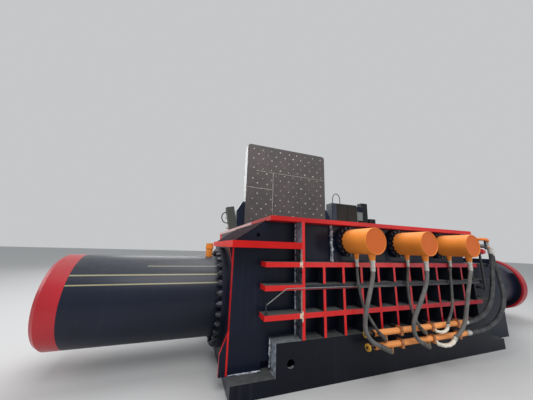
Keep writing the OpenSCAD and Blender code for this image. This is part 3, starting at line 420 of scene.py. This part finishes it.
paint = {
    "black": makeEnamel("blackAlkydEnamel", "#101627", areas="black"),
    "base": makeEnamel("blackAlkydEnamelOnSill", "#0c101b", rough=0.4, coat=0.05, areas="base",
                       top="baseTop"),
    "wall": makeEnamel("blackAlkydEnamelOnWall", "#101627", areas="wall"),
    "barrel": makeEnamel("blackAlkydEnamelOnBarrel", "#10172a", dust=0.3, coat=0.08, gloss=0.28,
                         areas="barrel"),
    "lidPaint": makeEnamel("blackAlkydEnamelOnLid", "#14161b", areas="lid"),
    "ribs": makeEnamel("signalRedOnBlackRibs", "#101319", dust=0.7, gloss=0.3, areas="ribs"),
    "red": makeEnamel("signalRedEnamel", "#cb1e1c", rough=0.4, dust=0.4, coat=0.0, gloss=0.1, areas="red"),
    "frameRed": makeEnamel("signalRedOnTopFrame", "#c91d1c", rough=0.4, dust=0.4, gloss=0.2,
                           areas="frameRed"),
    "band": makeEnamel("deepRedEnamel", "#b31d28", rough=0.32, dust=0.35, coat=0.2, gloss=0.35),
    "farBand": makeEnamel("deepRedEnamelOnFarEnd", "#a81d27", dust=0.35, gloss=0.35, areas="farBand"),
    "orange": makeEnamel("orangeEnamel", "#e78a38", dustCode="#d9ad84", rough=0.5, dust=0.25, coat=0.02,
                         areas="orange"),
    "pipe": makeEnamel("orangeEnamelOnPipe", "#e2914f", dustCode="#c79b78", rough=0.45, dust=0.35, coat=0.1,
                       areas="pipe"),
    "supply": makeEnamel("orangeEnamelOnSupply", "#d9772f", rough=0.4, dust=0.3, coat=0.1, areas="supply"),
    "navy": makeEnamel("navyEnamel", "#141c30", rough=0.3, dust=0.5),
    "grey": makeEnamel("greyHammerEnamel", "#4d5052", rough=0.5, dust=0.7, dustCode="#8b8983", coat=0.05),
    "cabinet": makeEnamel("cabinetEnamel", "#5f6365", rough=0.45, dust=0.6, coat=0.1, areas="cabinet"),
    "wear": makeWearPlate("hotRolledWearPlate", "#4d4949", "#5b5152", 0.22),
    "floorWear": makeWearPlate("scrapedWearPlate", "#4b4643", "#574b43", 0.3),
    "steel": makeSteel("zincSteel", "#c4c3bd", metal=0.6),
    "clamp": makeSteel("paintedStrapOnBlackFoot", "#a8683c", metal=0.1, areas="clampFoot"),
    "ferrule": makeSteel("zincFerrule", "#bebdb7", metal=0.6, areas="dullFerrules"),
    "darkPipe": makeSteel("blackenedTube", "#2b2d31", rough=0.45, metal=0.3),
    "weld": makeSteel("weldBead", "#a9a59c", rough=0.5, grime=0.5, metal=0.4),
    "paintedWeld": makeEnamel("weldBeadUnderPaint", "#3f4656", rough=0.4, dust=0.9, dustCode="#c3c6cf",
                              areas="bareWeld"),
    "bolt": makeSteel("blackenedSteel", "#4c4f57", grime=0.5),
    "line": makeSteel("paintedTube", "#8b8c8a", rough=0.5, metal=0.1, areas="lineInShade"),
    "elbow": makeSteel("brassAndGalvanisedSteel", "#b07b48", rough=0.4, metal=0.4, areas="paleElbow"),
    "chrome": makeChrome("hardChrome"),
    "chequer": makeChequer("chequeredPlate"),
    "hoseDark": makeHoseRubber("wrappedRubberDark", "#1a1b1d", "#3d3e41"),
    "hoseThin": makeHoseRubber("wrappedRubberThin", "#3b3d3c", "#585855"),
    "hoseThick": makeHoseRubber("wrappedRubberThick", "#555453", "#6f6c68"),
}
finishes = {
    "black": ["lock_pad", "left_end_plate", "left_wall", "lane_roof", "right_wall", "rear_plate",
              "chamber_ledge", "tunnel", "lock_flanges", "hinge_blocks", "lid_cylinder_brackets",
              "supply_brackets", "valve_stand"],
    "base": ["base_frame"], "wall": ["front_wall"], "lidPaint": ["lid_plate"], "cabinet": ["valve_blocks"],
    "barrel": ["main_barrel", "counter_barrel", "side_barrel"],
    "ribs": ["front_ribs"], "frameRed": ["top_frame"], "red": ["rear_ribs", "shoulder_rail"],
    "band": ["main_end_cap", "side_end_cap"], "farBand": ["counter_end_cap"],
    "orange": ["lock_barrels", "lock_nozzles", "port_fittings"],
    "pipe": ["manifold_pipes"], "supply": ["supply_pipes"],
    "navy": ["lid_arm_left", "lid_arm_right", "lid_cylinder_left", "lid_cylinder_right"],
    "grey": ["tunnel_roof"], "wear": ["lid_wear_plates"],
    "floorWear": ["lane_floor", "main_head", "counter_head", "side_head"],
    "steel": ["hinge_pins", "main_gland"], "clamp": ["pipe_clamps"], "ferrule": ["hose_ferrules"],
    "bolt": ["flange_studs", "lock_flange_bolts"], "line": ["grease_line"], "elbow": ["branch_elbows"],
    "chrome": ["main_rod", "counter_rod", "side_rod", "lid_rod_left", "lid_rod_right",
               "lock_pin_1", "lock_pin_2", "lock_pin_3"],
    "chequer": ["slope_plate"],
}
for finish, names in finishes.items():
    for name in names:
        mesh = nodes[name].data
        mesh.materials.clear()
        mesh.materials.append(paint[finish])
print("stage: finishes set")


def carry(piece, name, body, finish):
    piece.name = piece.data.name = name
    piece.data.materials.clear()
    piece.data.materials.append(paint[finish])
    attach(piece, body)


# Hoses: each is one smooth tube through the points of its route, in mm from the front left corner.
# A size is an outside radius in mm and a finish.
hoseSizes = {"thin": (18, "hoseThin"), "thick": (25, "hoseThick"), "supply": (32, "hoseDark"),
             "small": (14, "hoseDark")}
hoseSides = 20
routes = {
    "thinHose1": [
        (1650, -25, 1333), (1645, -28, 1245), (1650, -38, 1090), (1660, -58, 960), (1670, -92, 835),
        (1700, -150, 720), (1777, -198, 567)],
    "thinHose2": [
        (2590, -25, 1333), (2560, -28, 1200), (2530, -38, 1020), (2515, -58, 870), (2500, -95, 745),
        (2480, -155, 645), (2488, -198, 563)],
    "thinHose3": [
        (3530, -25, 1333), (3500, -28, 1205), (3470, -38, 1025), (3420, -58, 870), (3330, -95, 745),
        (3155, -160, 645), (3035, -192, 571)],
    "thickHose1": [
        (1650, -300, 1300), (1630, -302, 1210), (1580, -296, 1050), (1530, -288, 885), (1505, -278, 745),
        (1525, -262, 615), (1620, -240, 505), (1759, -222, 429)],
    "thickHose2": [
        (2590, -300, 1300), (2570, -302, 1195), (2500, -298, 1040), (2405, -290, 885), (2310, -280, 735),
        (2280, -266, 595), (2345, -244, 475), (2475, -222, 389)],
    "thickHose3": [
        (3530, -300, 1300), (3475, -302, 1180), (3400, -296, 995), (3335, -288, 795), (3285, -276, 630),
        (3230, -258, 515), (3160, -236, 435), (3124, -216, 402)],
    "supplyHose1": [
        (4650, -35, 1560), (4630, -40, 1400), (4545, -55, 1180), (4430, -80, 980), (4280, -100, 780),
        (4040, -118, 625), (3790, -120, 550), (3670, -120, 535), (3570, -120, 535)],
    "supplyHose2": [
        (4890, 60, 1530), (4885, 50, 1380), (4865, 5, 1150), (4770, -55, 900), (4590, -100, 680),
        (4310, -118, 500), (3980, -120, 405), (3730, -120, 385), (3610, -120, 385)],
    "smallHoseOnCabinet": [
        (4330, 4100, 3170), (4330, 4100, 3300), (4345, 4100, 3420), (4405, 4100, 3520), (4495, 4100, 3560),
        (4585, 4100, 3520), (4640, 4100, 3420), (4650, 4100, 3300), (4650, 4100, 3170)],
    "smallHoseOnBlock": [
        (414.5, 3500, 2440), (370, 3500, 2450), (305, 3500, 2400), (285, 3500, 2310), (320, 3500, 2215),
        (400, 3500, 2165), (472, 3500, 2170)],
}


# A Catmull-Rom curve through all the points, whose ends are drawn on straight
def smoothRoute(points, parts=4):
    spots = [at(*p) for p in points]
    spots = [2 * spots[0] - spots[1]] + spots + [2 * spots[-1] - spots[-2]]
    out = []
    for i in range(1, len(spots) - 2):
        a, b, c, d = spots[i - 1:i + 3]
        for k in range(parts):
            t = k / parts
            out.append(0.5 * ((2 * b) + (c - a) * t + (2 * a - 5 * b + 4 * c - d) * t * t
                              + (3 * b - a - 3 * c + d) * t ** 3))
    return out + [spots[-2]]


def tubeMesh(path, radius, sides):
    made = bmesh.new()
    uv = made.loops.layers.uv.new("route")
    rings, travelled = [], [0.0]
    side = Vector((0, 1, 0))
    for i, spot in enumerate(path):
        ahead = (path[min(i + 1, len(path) - 1)] - path[max(i - 1, 0)]).normalized()
        side = (side - ahead * side.dot(ahead)).normalized()
        other = ahead.cross(side)
        rings.append([made.verts.new(spot + radius * (side * math.cos(a) + other * math.sin(a)))
                      for a in (2 * math.pi * k / sides for k in range(sides))])
        if i:
            travelled.append(travelled[-1] + (spot - path[i - 1]).length)
    for i in range(len(path) - 1):
        for k in range(sides):
            n = (k + 1) % sides
            face = made.faces.new((rings[i][k], rings[i][n], rings[i + 1][n], rings[i + 1][k]))
            face.smooth = True
            for loop, (u, v) in zip(face.loops, ((travelled[i], k), (travelled[i], k + 1),
                                                 (travelled[i + 1], k + 1), (travelled[i + 1], k))):
                loop[uv].uv = (u, v / sides)
    made.faces.new(list(reversed(rings[0])))
    made.faces.new(rings[-1])
    mesh = bpy.data.meshes.new("tube")
    bmesh.ops.recalc_face_normals(made, faces=made.faces)
    made.to_mesh(mesh)
    made.free()
    return mesh, travelled[-1]


def makeHoses():
    for name, points in routes.items():
        radius, finish = next(size for kind, size in hoseSizes.items() if name.startswith(kind))
        path = smoothRoute(points)
        mesh, length = tubeMesh(path, radius * mm, hoseSides)
        piece = bpy.data.objects.new(name, mesh)
        putInScene(piece)
        carry(piece, name, "press_body", finish)
        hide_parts("hoses")


makeHoses()
print("stage: hoses made")


# Modelling helpers: an operator acts on all that is selected, so each step starts from nothing selected
def clearSelection():
    for each in list(bpy.context.selected_objects):
        each.select_set(False)


def addPrimitive(operator, place=(0, 0, 0), **sizes):
    clearSelection()
    operator(location=place, **sizes)
    return bpy.context.object


# Leaves the piece in edit mode with only the faces or edges selected that pass the test
def pickParts(piece, kind, test):
    bpy.ops.object.mode_set(mode="EDIT")
    bpy.ops.mesh.select_mode(type=kind)
    bpy.ops.mesh.select_all(action="DESELECT")
    bpy.ops.object.mode_set(mode="OBJECT")
    for part in piece.data.polygons if kind == "FACE" else piece.data.edges:
        part.select = test(part)
    bpy.ops.object.mode_set(mode="EDIT")


def editAll():
    bpy.ops.object.mode_set(mode="EDIT")
    bpy.ops.mesh.select_all(action="SELECT")


def extrudeBy(move):
    bpy.ops.mesh.extrude_region_move(TRANSFORM_OT_translate={"value": move})


def leaveEdit():
    bpy.ops.object.mode_set(mode="OBJECT")


def edgeRise(piece, edge):
    one, other = (piece.data.vertices[i].co.z for i in edge.vertices)
    return abs(one - other)


def copyTo(model, spots):
    copies = []
    for place, turn, size in spots:
        made = model.copy()
        made.data = model.data.copy()
        putInScene(made)
        made.location, made.rotation_euler, made.scale = place, turn, size
        copies.append(made)
    bpy.data.objects.remove(model)
    return copies


def finishPiece(parts, name, body, finish, angle=35):
    clearSelection()
    for part in parts:
        part.select_set(True)
    bpy.context.view_layer.objects.active = parts[0]
    if len(parts) > 1:
        bpy.ops.object.join()
    bpy.ops.object.transform_apply(location=True, rotation=True, scale=True)
    bpy.ops.object.shade_smooth_by_angle(angle=math.radians(angle))
    carry(bpy.context.object, name, body, finish)


toFront = (math.pi / 2, 0, 0)
toLeft = (0, -math.pi / 2, 0)
facing = 0.9  # a face looks along an axis when its normal's share on it is over this
weldAngle = 60  # welds are shaded smooth over edges up to this, in degrees


# Plug welds that hold the wear plates to the lid, in staggered rows. Each is a low crown in steps, which are
# shares of its height and of the ring below. The turn is in radians.
plugWeld = {"radius": 22, "height": 8, "sides": 9, "steps": ((0.6, 0.82), (0.4, 0.5)), "sizes": (0.75, 1.45),
            "squash": (0.8, 1.1), "turn": 6, "scatter": 16, "pitch": 305, "row": 163, "left": 1205,
            "right": 3760, "top": 4632, "bottom": 1640, "lidFace": 3800}


def modelPlugWeld():
    model = addPrimitive(bpy.ops.mesh.primitive_circle_add, vertices=plugWeld["sides"],
                         radius=plugWeld["radius"] * mm, fill_type="NGON")
    editAll()
    for rise, share in plugWeld["steps"]:
        extrudeBy((0, 0, rise * plugWeld["height"] * mm))
        bpy.ops.transform.resize(value=(share, share, 1))
    bpy.ops.mesh.select_all(action="SELECT")
    bpy.ops.mesh.normals_make_consistent(inside=False)
    leaveEdit()
    return model


def makePlugWelds():
    spots, row, z = [], 0, plugWeld["top"]
    while z > plugWeld["bottom"]:
        x = plugWeld["left"] + (row % 2) * plugWeld["pitch"] / 2
        while x < plugWeld["right"]:
            slip = [random.uniform(-1, 1) * plugWeld["scatter"] for _ in range(2)]
            size = random.uniform(*plugWeld["sizes"])
            turn = (math.pi / 2, random.uniform(0, plugWeld["turn"]), 0)
            depth = size * random.uniform(*plugWeld["squash"])
            spots.append((at(x + slip[0], plugWeld["lidFace"], z + slip[1]), turn, (size, depth, 1)))
            x += plugWeld["pitch"]
        row += 1
        z -= plugWeld["row"]
    finishPiece(copyTo(modelPlugWeld(), spots), "plugWelds", "lid", "weld", weldAngle)


makePlugWelds()
print("stage: plug welds made")


# Weld beads: each is a round bar cut into short lengths and pushed about, half sunk in its corner
beadCuts = (2, 100)  # fewest and most
beadSeeds = (1, 900)


def addBead(start, end, radius, step=20, rough=0.6, sides=8):
    start, end = at(*start), at(*end)
    run = end - start
    bead = addPrimitive(bpy.ops.mesh.primitive_cylinder_add, (start + end) / 2, vertices=sides,
                        radius=radius * mm, depth=run.length, rotation=run.to_track_quat("Z", "Y").to_euler())
    pickParts(bead, "EDGE", lambda edge: edgeRise(bead, edge) > run.length / 2)
    bpy.ops.mesh.subdivide(number_cuts=min(beadCuts[1], max(beadCuts[0], int(run.length / mm / step))))
    bpy.ops.mesh.select_all(action="SELECT")
    bpy.ops.transform.vertex_random(offset=radius * rough * mm, seed=random.randint(*beadSeeds))
    leaveEdit()
    return bead


# Seams between the lid's wear plates, by x and z of their ends
lidSeams = {"radius": 8, "step": 26, "rough": 1.1, "sides": 6, "y": 3799, "ground": 0.42,
            "runs": [((1290, 3905), (3780, 3885)), ((1870, 2600), (1868, 3890)), ((1020, 3345), (1820, 3335)),
                     ((1868, 1640), (1872, 2560))]}


def makeLidSeams():
    y, shape = lidSeams["y"], [lidSeams[key] for key in ("radius", "step", "rough", "sides")]
    beads = [addBead((a[0], y, a[1]), (b[0], y, b[1]), *shape) for a, b in lidSeams["runs"]]
    finishPiece(beads, "lidSeams", "lid", "weld", weldAngle)
    # Ground low, so that the ram heads pass 10 mm under the closed lid
    editAll()
    bpy.ops.transform.resize(value=(1, lidSeams["ground"], 1), center_override=at(0, y, 0))
    leaveEdit()


# Beads where the ribs, the pad, the wall and the rails meet, under paint and dust: both ends and the radius
frameBeads = {
    "scuffed": [((824, 176, 505), (824, 176, 733), 13), ((824, 176, 800), (824, 176, 1050), 11),
                ((824, 176, 1122), (824, 176, 1318), 12), ((824, 176, 1386), (824, 176, 1538), 9),
                ((824, 176, 1626), (824, 176, 1880), 10), ((1388, 166, 1386), (1388, 166, 1880), 22),
                ((5, 180, 166), (380, 180, 166), 9), ((494, 178, 190), (494, 178, 495), 13)],
    "painted": [((505, 180, 504), (4295, 180, 504), 8), ((1405, 150, 1385), (4195, 150, 1385), 7),
                ((1405, 150, 1880), (4195, 150, 1880), 7), ((4304, 180, 166), (4304, 180, 495), 9),
                ((4310, 180, 166), (4676, 180, 166), 8), ((505, 4004, 496), (4240, 4004, 496), 8)],
}


def makeFrameWelds():
    scuffed = [addBead(*run) for run in frameBeads["scuffed"]]
    finishPiece(scuffed, "scuffedWelds", "press_body", "paintedWeld", weldAngle)
    painted = [addBead(*run) for run in frameBeads["painted"]]
    finishPiece(painted, "paintedWelds", "press_body", "black", weldAngle)


makeLidSeams()
makeFrameWelds()
print("stage: weld beads made")


# Hex bolts with a washer under the head, modelled at 10 mm radius and copied at their sizes
bolt = {"radius": 10, "sides": 6, "height": 10, "crown": 1.2, "washer": 2, "washerShare": 1.3}


def modelBolt():
    place = (0, 0, (bolt["washer"] + bolt["height"] / 2) * mm)
    model = addPrimitive(bpy.ops.mesh.primitive_cylinder_add, place, vertices=bolt["sides"],
                         radius=bolt["radius"] * mm, depth=bolt["height"] * mm)
    pickParts(model, "FACE", lambda face: face.normal.z > facing)
    bpy.ops.mesh.inset(thickness=bolt["crown"] * mm)
    bpy.ops.transform.translate(value=(0, 0, bolt["crown"] * mm))
    pickParts(model, "FACE", lambda face: face.normal.z < -facing)
    extrudeBy((0, 0, 0))
    bpy.ops.transform.resize(value=(bolt["washerShare"], bolt["washerShare"], 1))
    extrudeBy((0, 0, -bolt["washer"] * mm))
    leaveEdit()
    return model


def boltSpot(x, y, z, turn, radius):
    return at(x, y, z), turn, (radius / bolt["radius"],) * 3


frameBolts = {
    "clamps": [(x + side, -165, z) for x in (2200, 2790, 3330) for side in (-11, 11) for z in (535, 385)],
    "clampRadius": 6,
    "ends": [(1639, -120, 535), (1659, -120, 385)],
    "endRadius": 17,
    "cabinet": [(x, 3959, z) for x in (4250, 4700, 4760, 5230) for z in (2560, 3110)],
    "cabinetRadius": 9,
}


def makeBolts():
    spots = [boltSpot(*place, toFront, frameBolts["clampRadius"]) for place in frameBolts["clamps"]]
    spots += [boltSpot(*place, toLeft, frameBolts["endRadius"]) for place in frameBolts["ends"]]
    spots += [boltSpot(*place, toFront, frameBolts["cabinetRadius"]) for place in frameBolts["cabinet"]]
    finishPiece(copyTo(modelBolt(), spots), "frameBolts", "press_body", "bolt")


makeBolts()
print("stage: bolts made")


# Crimped sleeves on the hose ends: rings pressed round the ferrules, modelled at 10 mm radius. Thin hoses
# come first, thick ones second. A lower end is where its ferrule starts and stops.
sleeve = {"modelled": 10, "rings": (14, 34, 54), "sides": 20, "radius": 9.6, "height": 4.6,
          "bulge": (1.07, 1.07, 1.4), "stretch": 1.9, "angle": 50, "margin": 4, "upright": (1333, 1300),
          "radii": (23.5, 30.5), "depths": (-25, -300), "columns": (1650, 2590, 3530)}
lowerEnds = [
    [((1777, -198, 567), (1905, -165, 473)), ((2488, -198, 563), (2628, -165, 475)),
     ((3035, -192, 571), (3030, -192, 530))],
    [((1759, -222, 429), (1965, -178, 335)), ((2475, -222, 389), (2640, -178, 318)),
     ((3124, -216, 402), (3098, -214, 364))],
]


def modelSleeveRing():
    model = addPrimitive(bpy.ops.mesh.primitive_cylinder_add, vertices=sleeve["sides"],
                         radius=sleeve["radius"] * mm, depth=sleeve["height"] * mm)
    pickParts(model, "EDGE", lambda edge: edgeRise(model, edge) > mm)
    bpy.ops.mesh.subdivide(number_cuts=2)
    leaveEdit()
    verts = model.data.vertices
    pickParts(model, "EDGE", lambda edge: all(abs(verts[i].co.z) < mm for i in edge.vertices))
    bpy.ops.transform.resize(value=sleeve["bulge"])
    leaveEdit()
    return model


def makeSleeves():
    spots = []
    for kind, radius in enumerate(sleeve["radii"]):
        share = radius / sleeve["modelled"]
        size = (share, share, sleeve["stretch"])
        for x in sleeve["columns"]:
            spots += [(at(x, sleeve["depths"][kind], sleeve["upright"][kind] + rise), (0, 0, 0), size)
                      for rise in sleeve["rings"]]
        for start, end in lowerEnds[kind]:
            run = at(*end) - at(*start)
            turn = run.to_track_quat("Z", "Y").to_euler()
            spots += [(at(*start) + run.normalized() * along * mm, turn, size)
                      for along in sleeve["rings"] if along < run.length / mm - sleeve["margin"]]
    finishPiece(copyTo(modelSleeveRing(), spots), "crimpedSleeves", "press_body", "ferrule",
                sleeve["angle"])


makeSleeves()


# Pipes: a ring of edges drawn out along straight runs and spun round bends, then closed at both ends.
# A move is a straight length, the heading after its bend or None, and the bend's radius.
mergeWithin = 0.01  # mm


def addPipe(start, heading, radius, moves, sides=12, bendSteps=6):
    piece = addPrimitive(bpy.ops.mesh.primitive_circle_add, at(*start), vertices=sides, radius=radius * mm,
                         fill_type="NOTHING", rotation=Vector(heading).to_track_quat("Z", "Y").to_euler())
    bpy.ops.object.transform_apply(location=True, rotation=True, scale=True)
    bpy.ops.object.mode_set(mode="EDIT")
    bpy.ops.mesh.select_mode(type="EDGE")
    bpy.ops.mesh.select_all(action="SELECT")
    spot, ahead = Vector(start), Vector(heading).normalized()
    for length, toward, bend in moves:
        extrudeBy(ahead * length * mm)
        spot = spot + ahead * length
        if toward:
            side = Vector(toward)
            bpy.ops.mesh.spin(steps=bendSteps, angle=math.pi / 2, center=at(*(spot + side * bend)),
                              axis=ahead.cross(side))
            spot = spot + (ahead + side) * bend
            ahead = side
    bpy.ops.mesh.select_all(action="SELECT")
    bpy.ops.mesh.remove_doubles(threshold=mergeWithin * mm)
    bpy.ops.mesh.fill_holes(sides=0)
    bpy.ops.mesh.normals_make_consistent(inside=False)
    leaveEdit()
    return piece


# Collars and nuts: a short prism whose end faces are inset by a share of its radius and drawn out a little
collarEnd = {"inset": 0.15, "drawn": 1.12}


def addCollar(centre, heading, radius, length, sides=6):
    turn = Vector(heading).to_track_quat("Z", "Y").to_euler()
    collar = addPrimitive(bpy.ops.mesh.primitive_cylinder_add, at(*centre), vertices=sides,
                          radius=radius * mm, depth=length * mm, rotation=turn)
    pickParts(collar, "FACE", lambda face: abs(face.normal.z) > facing)
    bpy.ops.mesh.inset(thickness=collarEnd["inset"] * radius * mm, use_individual=True)
    bpy.ops.transform.resize(value=(1, 1, collarEnd["drawn"]), orient_type="LOCAL")
    leaveEdit()
    return collar


# Drain line from the first supply pipe into the wall, with a red union of three collars (x, radius, length,
# sides)
drain = {"radius": 18, "left": 4170, "right": 4545, "depth": -35, "top": 1786, "level": 1592, "foot": 900,
         "bend": 40, "wall": 184, "union": ((4350, 32, 30, 6), (4400, 46, 62, 8), (4450, 32, 30, 6))}


def makeDrain():
    bend, depth, level = drain["bend"], drain["depth"], drain["level"]
    pipe = addPipe((drain["right"], depth, drain["top"]), (0, 0, -1), drain["radius"], [
        (drain["top"] - level - bend, (-1, 0, 0), bend),
        (drain["right"] - drain["left"] - 2 * bend, (0, 0, -1), bend),
        (level - drain["foot"] - 2 * bend, (0, 1, 0), bend),
        (drain["wall"] - depth - bend, None, 0)])
    finishPiece([pipe], "drainLine", "press_body", "darkPipe")
    union = [addCollar((x, depth, level), (1, 0, 0), *size) for x, *size in drain["union"]]
    finishPiece(union, "drainUnion", "press_body", "band")


# Grease fitting on the fourth rail at the line's end, clips that hold the line, and a second line below it.
# A clip's size is its radius, length and sides.
grease = {"foot": (371, 14, 796), "top": 923, "radius": 8,
          "stub": {"place": (371, 26, 909), "radius": 9, "length": 44},
          "nut": {"place": (377, 16, 805), "radius": 22, "length": 18},
          "clips": (760, 1300, 1900, 2500, 3100, 3700, 4150), "clipPlace": (-6, 1077), "clipSize": (9, 12, 8),
          "second": {"left": 1700, "right": 4240, "place": (-5.5, 1061), "radius": 5}}


def makeGreaseLines():
    foot, stub, nut, second = (grease[key] for key in ("foot", "stub", "nut", "second"))
    fitting = [addPipe(foot, (0, 0, 1), grease["radius"], [(grease["top"] - foot[2], None, 0)]),
               addPipe(stub["place"], (0, -1, 0), stub["radius"], [(stub["length"], None, 0)]),
               addCollar(nut["place"], (0, 0, 1), nut["radius"], nut["length"])]
    finishPiece(fitting, "greaseFitting", "press_body", "darkPipe")
    clips = [addCollar((x, *grease["clipPlace"]), (1, 0, 0), *grease["clipSize"]) for x in grease["clips"]]
    finishPiece(clips, "greaseClips", "press_body", "line")
    line = addPipe((second["left"], *second["place"]), (1, 0, 0), second["radius"],
                   [(second["right"] - second["left"], None, 0)])
    finishPiece([line], "secondGreaseLine", "press_body", "line")


makeDrain()
makeGreaseLines()


# Cabinet beside the lid: the head over its pale box, and panels with a sunk field on its front
def addPanel(low, high, inset, sink):
    centre = [(a + b) / 2 for a, b in zip(low, high)]
    panel = addPrimitive(bpy.ops.mesh.primitive_cube_add, at(*centre), size=mm,
                         scale=[b - a for a, b in zip(low, high)])
    bpy.ops.object.transform_apply(location=True, rotation=True, scale=True)
    pickParts(panel, "FACE", lambda face: max(-face.normal.y, face.normal.z, face.normal.x) > facing)
    bpy.ops.mesh.inset(thickness=inset * mm, depth=-sink * mm, use_individual=True)
    leaveEdit()
    return panel


# Corners of each panel, and under "fields" the width of its rim and the depth of its sunk field
cabinet = {
    "doors": [((4400, 3950, 2540), (4830, 3959.7, 3130)), ((4850, 3950, 2540), (5270, 3959.7, 3130))],
    "head": [((5292, 3990, 2944), (5577, 4230, 3130))],
    "side": [((4215, 3945, 2560), (4375, 3959.7, 3060))],
    "fields": {"doors": (12, 4), "head": (14, 6), "side": (10, 5)},
}


def makeCabinet():
    panels = {key: [addPanel(*spot, *field) for spot in cabinet[key]]
              for key, field in cabinet["fields"].items()}
    finishPiece(panels["doors"], "cabinetPanels", "press_body", "cabinet")
    finishPiece(panels["head"], "cabinetHead", "press_body", "black")
    finishPiece(panels["side"], "cabinetSidePanel", "press_body", "cabinet")


# Couplings on the left face of the leaning block, square to it: height up the block, radius and length.
# The nut and the end ring are shares of the length along, the radius and the length, and a number of sides.
block = {"foot": (530, 3500, 1900), "lean": math.radians(12), "gap": 0.5, "sides": 14,
         "couplings": ((430, 24, 62), (150, 30, 80), (640, 16, 40)),
         "pipe": 0.75, "nut": (0.35, 1, 0.3, 6), "ring": (0.85, 1.1, 0.22, 14)}


def makeCouplings():
    lean = block["lean"]
    up, out = Vector((-math.sin(lean), 0, math.cos(lean))), Vector((-math.cos(lean), 0, -math.sin(lean)))
    parts = []
    for height, radius, length in block["couplings"]:
        base = Vector(block["foot"]) + up * height + out * block["gap"]
        parts.append(addPipe(tuple(base), out, radius * block["pipe"], [(length, None, 0)], block["sides"]))
        for along, wide, long, sides in (block["nut"], block["ring"]):
            centre = tuple(base + out * length * along)
            parts.append(addCollar(centre, out, radius * wide, length * long, sides))
    finishPiece(parts, "blockCouplings", "press_body", "steel")


# Gland rings at the tops of the lid cylinders' barrels, each riding on its barrel. Faces whose share
# of looking up or down is over "flat" are inset by the lip.
gland = {"foot": (4195, 250), "lean": math.radians(0.673), "reach": 790, "below": 8, "radius": 112,
         "height": 34, "segments": 40, "sides": 8, "lip": 3, "flat": 0.8,
         "columns": {"left": 885, "right": 3915}}


def makeGlandRings():
    lean, half = gland["lean"], gland["height"] / 2
    axis = Vector((0, -math.sin(lean), math.cos(lean)))
    for side, x in gland["columns"].items():
        top = Vector((x, *gland["foot"])) + axis * (gland["reach"] - half - gland["below"])
        ring = addPrimitive(bpy.ops.mesh.primitive_torus_add, at(*top), major_radius=gland["radius"] * mm,
                            minor_radius=half * mm, major_segments=gland["segments"],
                            minor_segments=gland["sides"], rotation=axis.to_track_quat("Z", "Y").to_euler())
        pickParts(ring, "FACE", lambda face: abs(face.normal.z) > gland["flat"])
        bpy.ops.mesh.inset(thickness=gland["lip"] * mm)
        leaveEdit()
        finishPiece([ring], "glandRing" + side.capitalize(), "lid_barrel_" + side, "navy")


makeCabinet()
makeCouplings()
makeGlandRings()
print("stage: details made")


# Studio: pale floor and a pale surround, soft light from above, from the left and from the front
studio = {"reach": 60, "floorCode": "#bababa", "floorRough": 0.8, "lightCode": "#dfe3e6", "light": 0.72,
          "backdropCode": "#dadcde", "backdrop": 0.8}


def makeStage():
    mesh = bpy.data.meshes.new("floor")
    reach = studio["reach"]
    mesh.from_pydata([(-reach, -reach, 0), (reach, -reach, 0), (reach, reach, 0), (-reach, reach, 0)], [],
                     [(0, 1, 2, 3)])
    floor = bpy.data.objects.new("floor", mesh)
    putInScene(floor)
    made, tree, _ = newMaterial("paleFloor")
    finishMaterial(tree, {"Base Color": linear(studio["floorCode"]), "Roughness": studio["floorRough"]}, {})
    mesh.materials.append(made)
    world = bpy.data.worlds.new("studio")
    bpy.context.scene.world = world
    world.use_nodes = True
    tree = world.node_tree
    tree.nodes.clear()
    path = addNode(tree, "ShaderNodeLightPath")
    seen = combine(tree, "MAXIMUM", path.outputs["Is Camera Ray"], path.outputs["Is Glossy Ray"])
    soft = addNode(tree, "ShaderNodeBackground",
                   {"Color": linear(studio["lightCode"]), "Strength": studio["light"]})
    pale = addNode(tree, "ShaderNodeBackground",
                   {"Color": linear(studio["backdropCode"]), "Strength": studio["backdrop"]})
    both = addNode(tree, "ShaderNodeMixShader", links={0: seen, 1: soft.outputs[0], 2: pale.outputs[0]})
    addNode(tree, "ShaderNodeOutputWorld", links={"Surface": both.outputs[0]})


lamps = {
    "key": {"place": (-3, -8, 11), "aim": (0, 0, 1.2), "size": 7, "power": 760},
    "fill": {"place": (5, -8, 1.6), "aim": (1, 0, 1.5), "size": 5, "power": 110},
    "top": {"place": (0, 1, 11), "aim": (0, 0, 0), "size": 9, "power": 800},
    "side": {"place": (-11, 0, 5), "aim": (-1, 0, 1), "size": 6, "power": 180},
    "back": {"place": (-4, 12, 8), "aim": (0, 2, 2), "size": 7, "power": 500},
}


def makeLamps():
    for name, lamp in lamps.items():
        data = bpy.data.lights.new(name, "AREA")
        data.energy = lamp["power"]
        data.shape = "DISK"
        data.size = lamp["size"]
        made = bpy.data.objects.new(name, data)
        putInScene(made)
        made.location = lamp["place"]
        made.rotation_euler = (Vector(lamp["aim"]) - made.location).to_track_quat("-Z", "Y").to_euler()


makeStage()
makeLamps()
bpy.context.scene.view_settings.view_transform = "Standard"
print("stage: done")
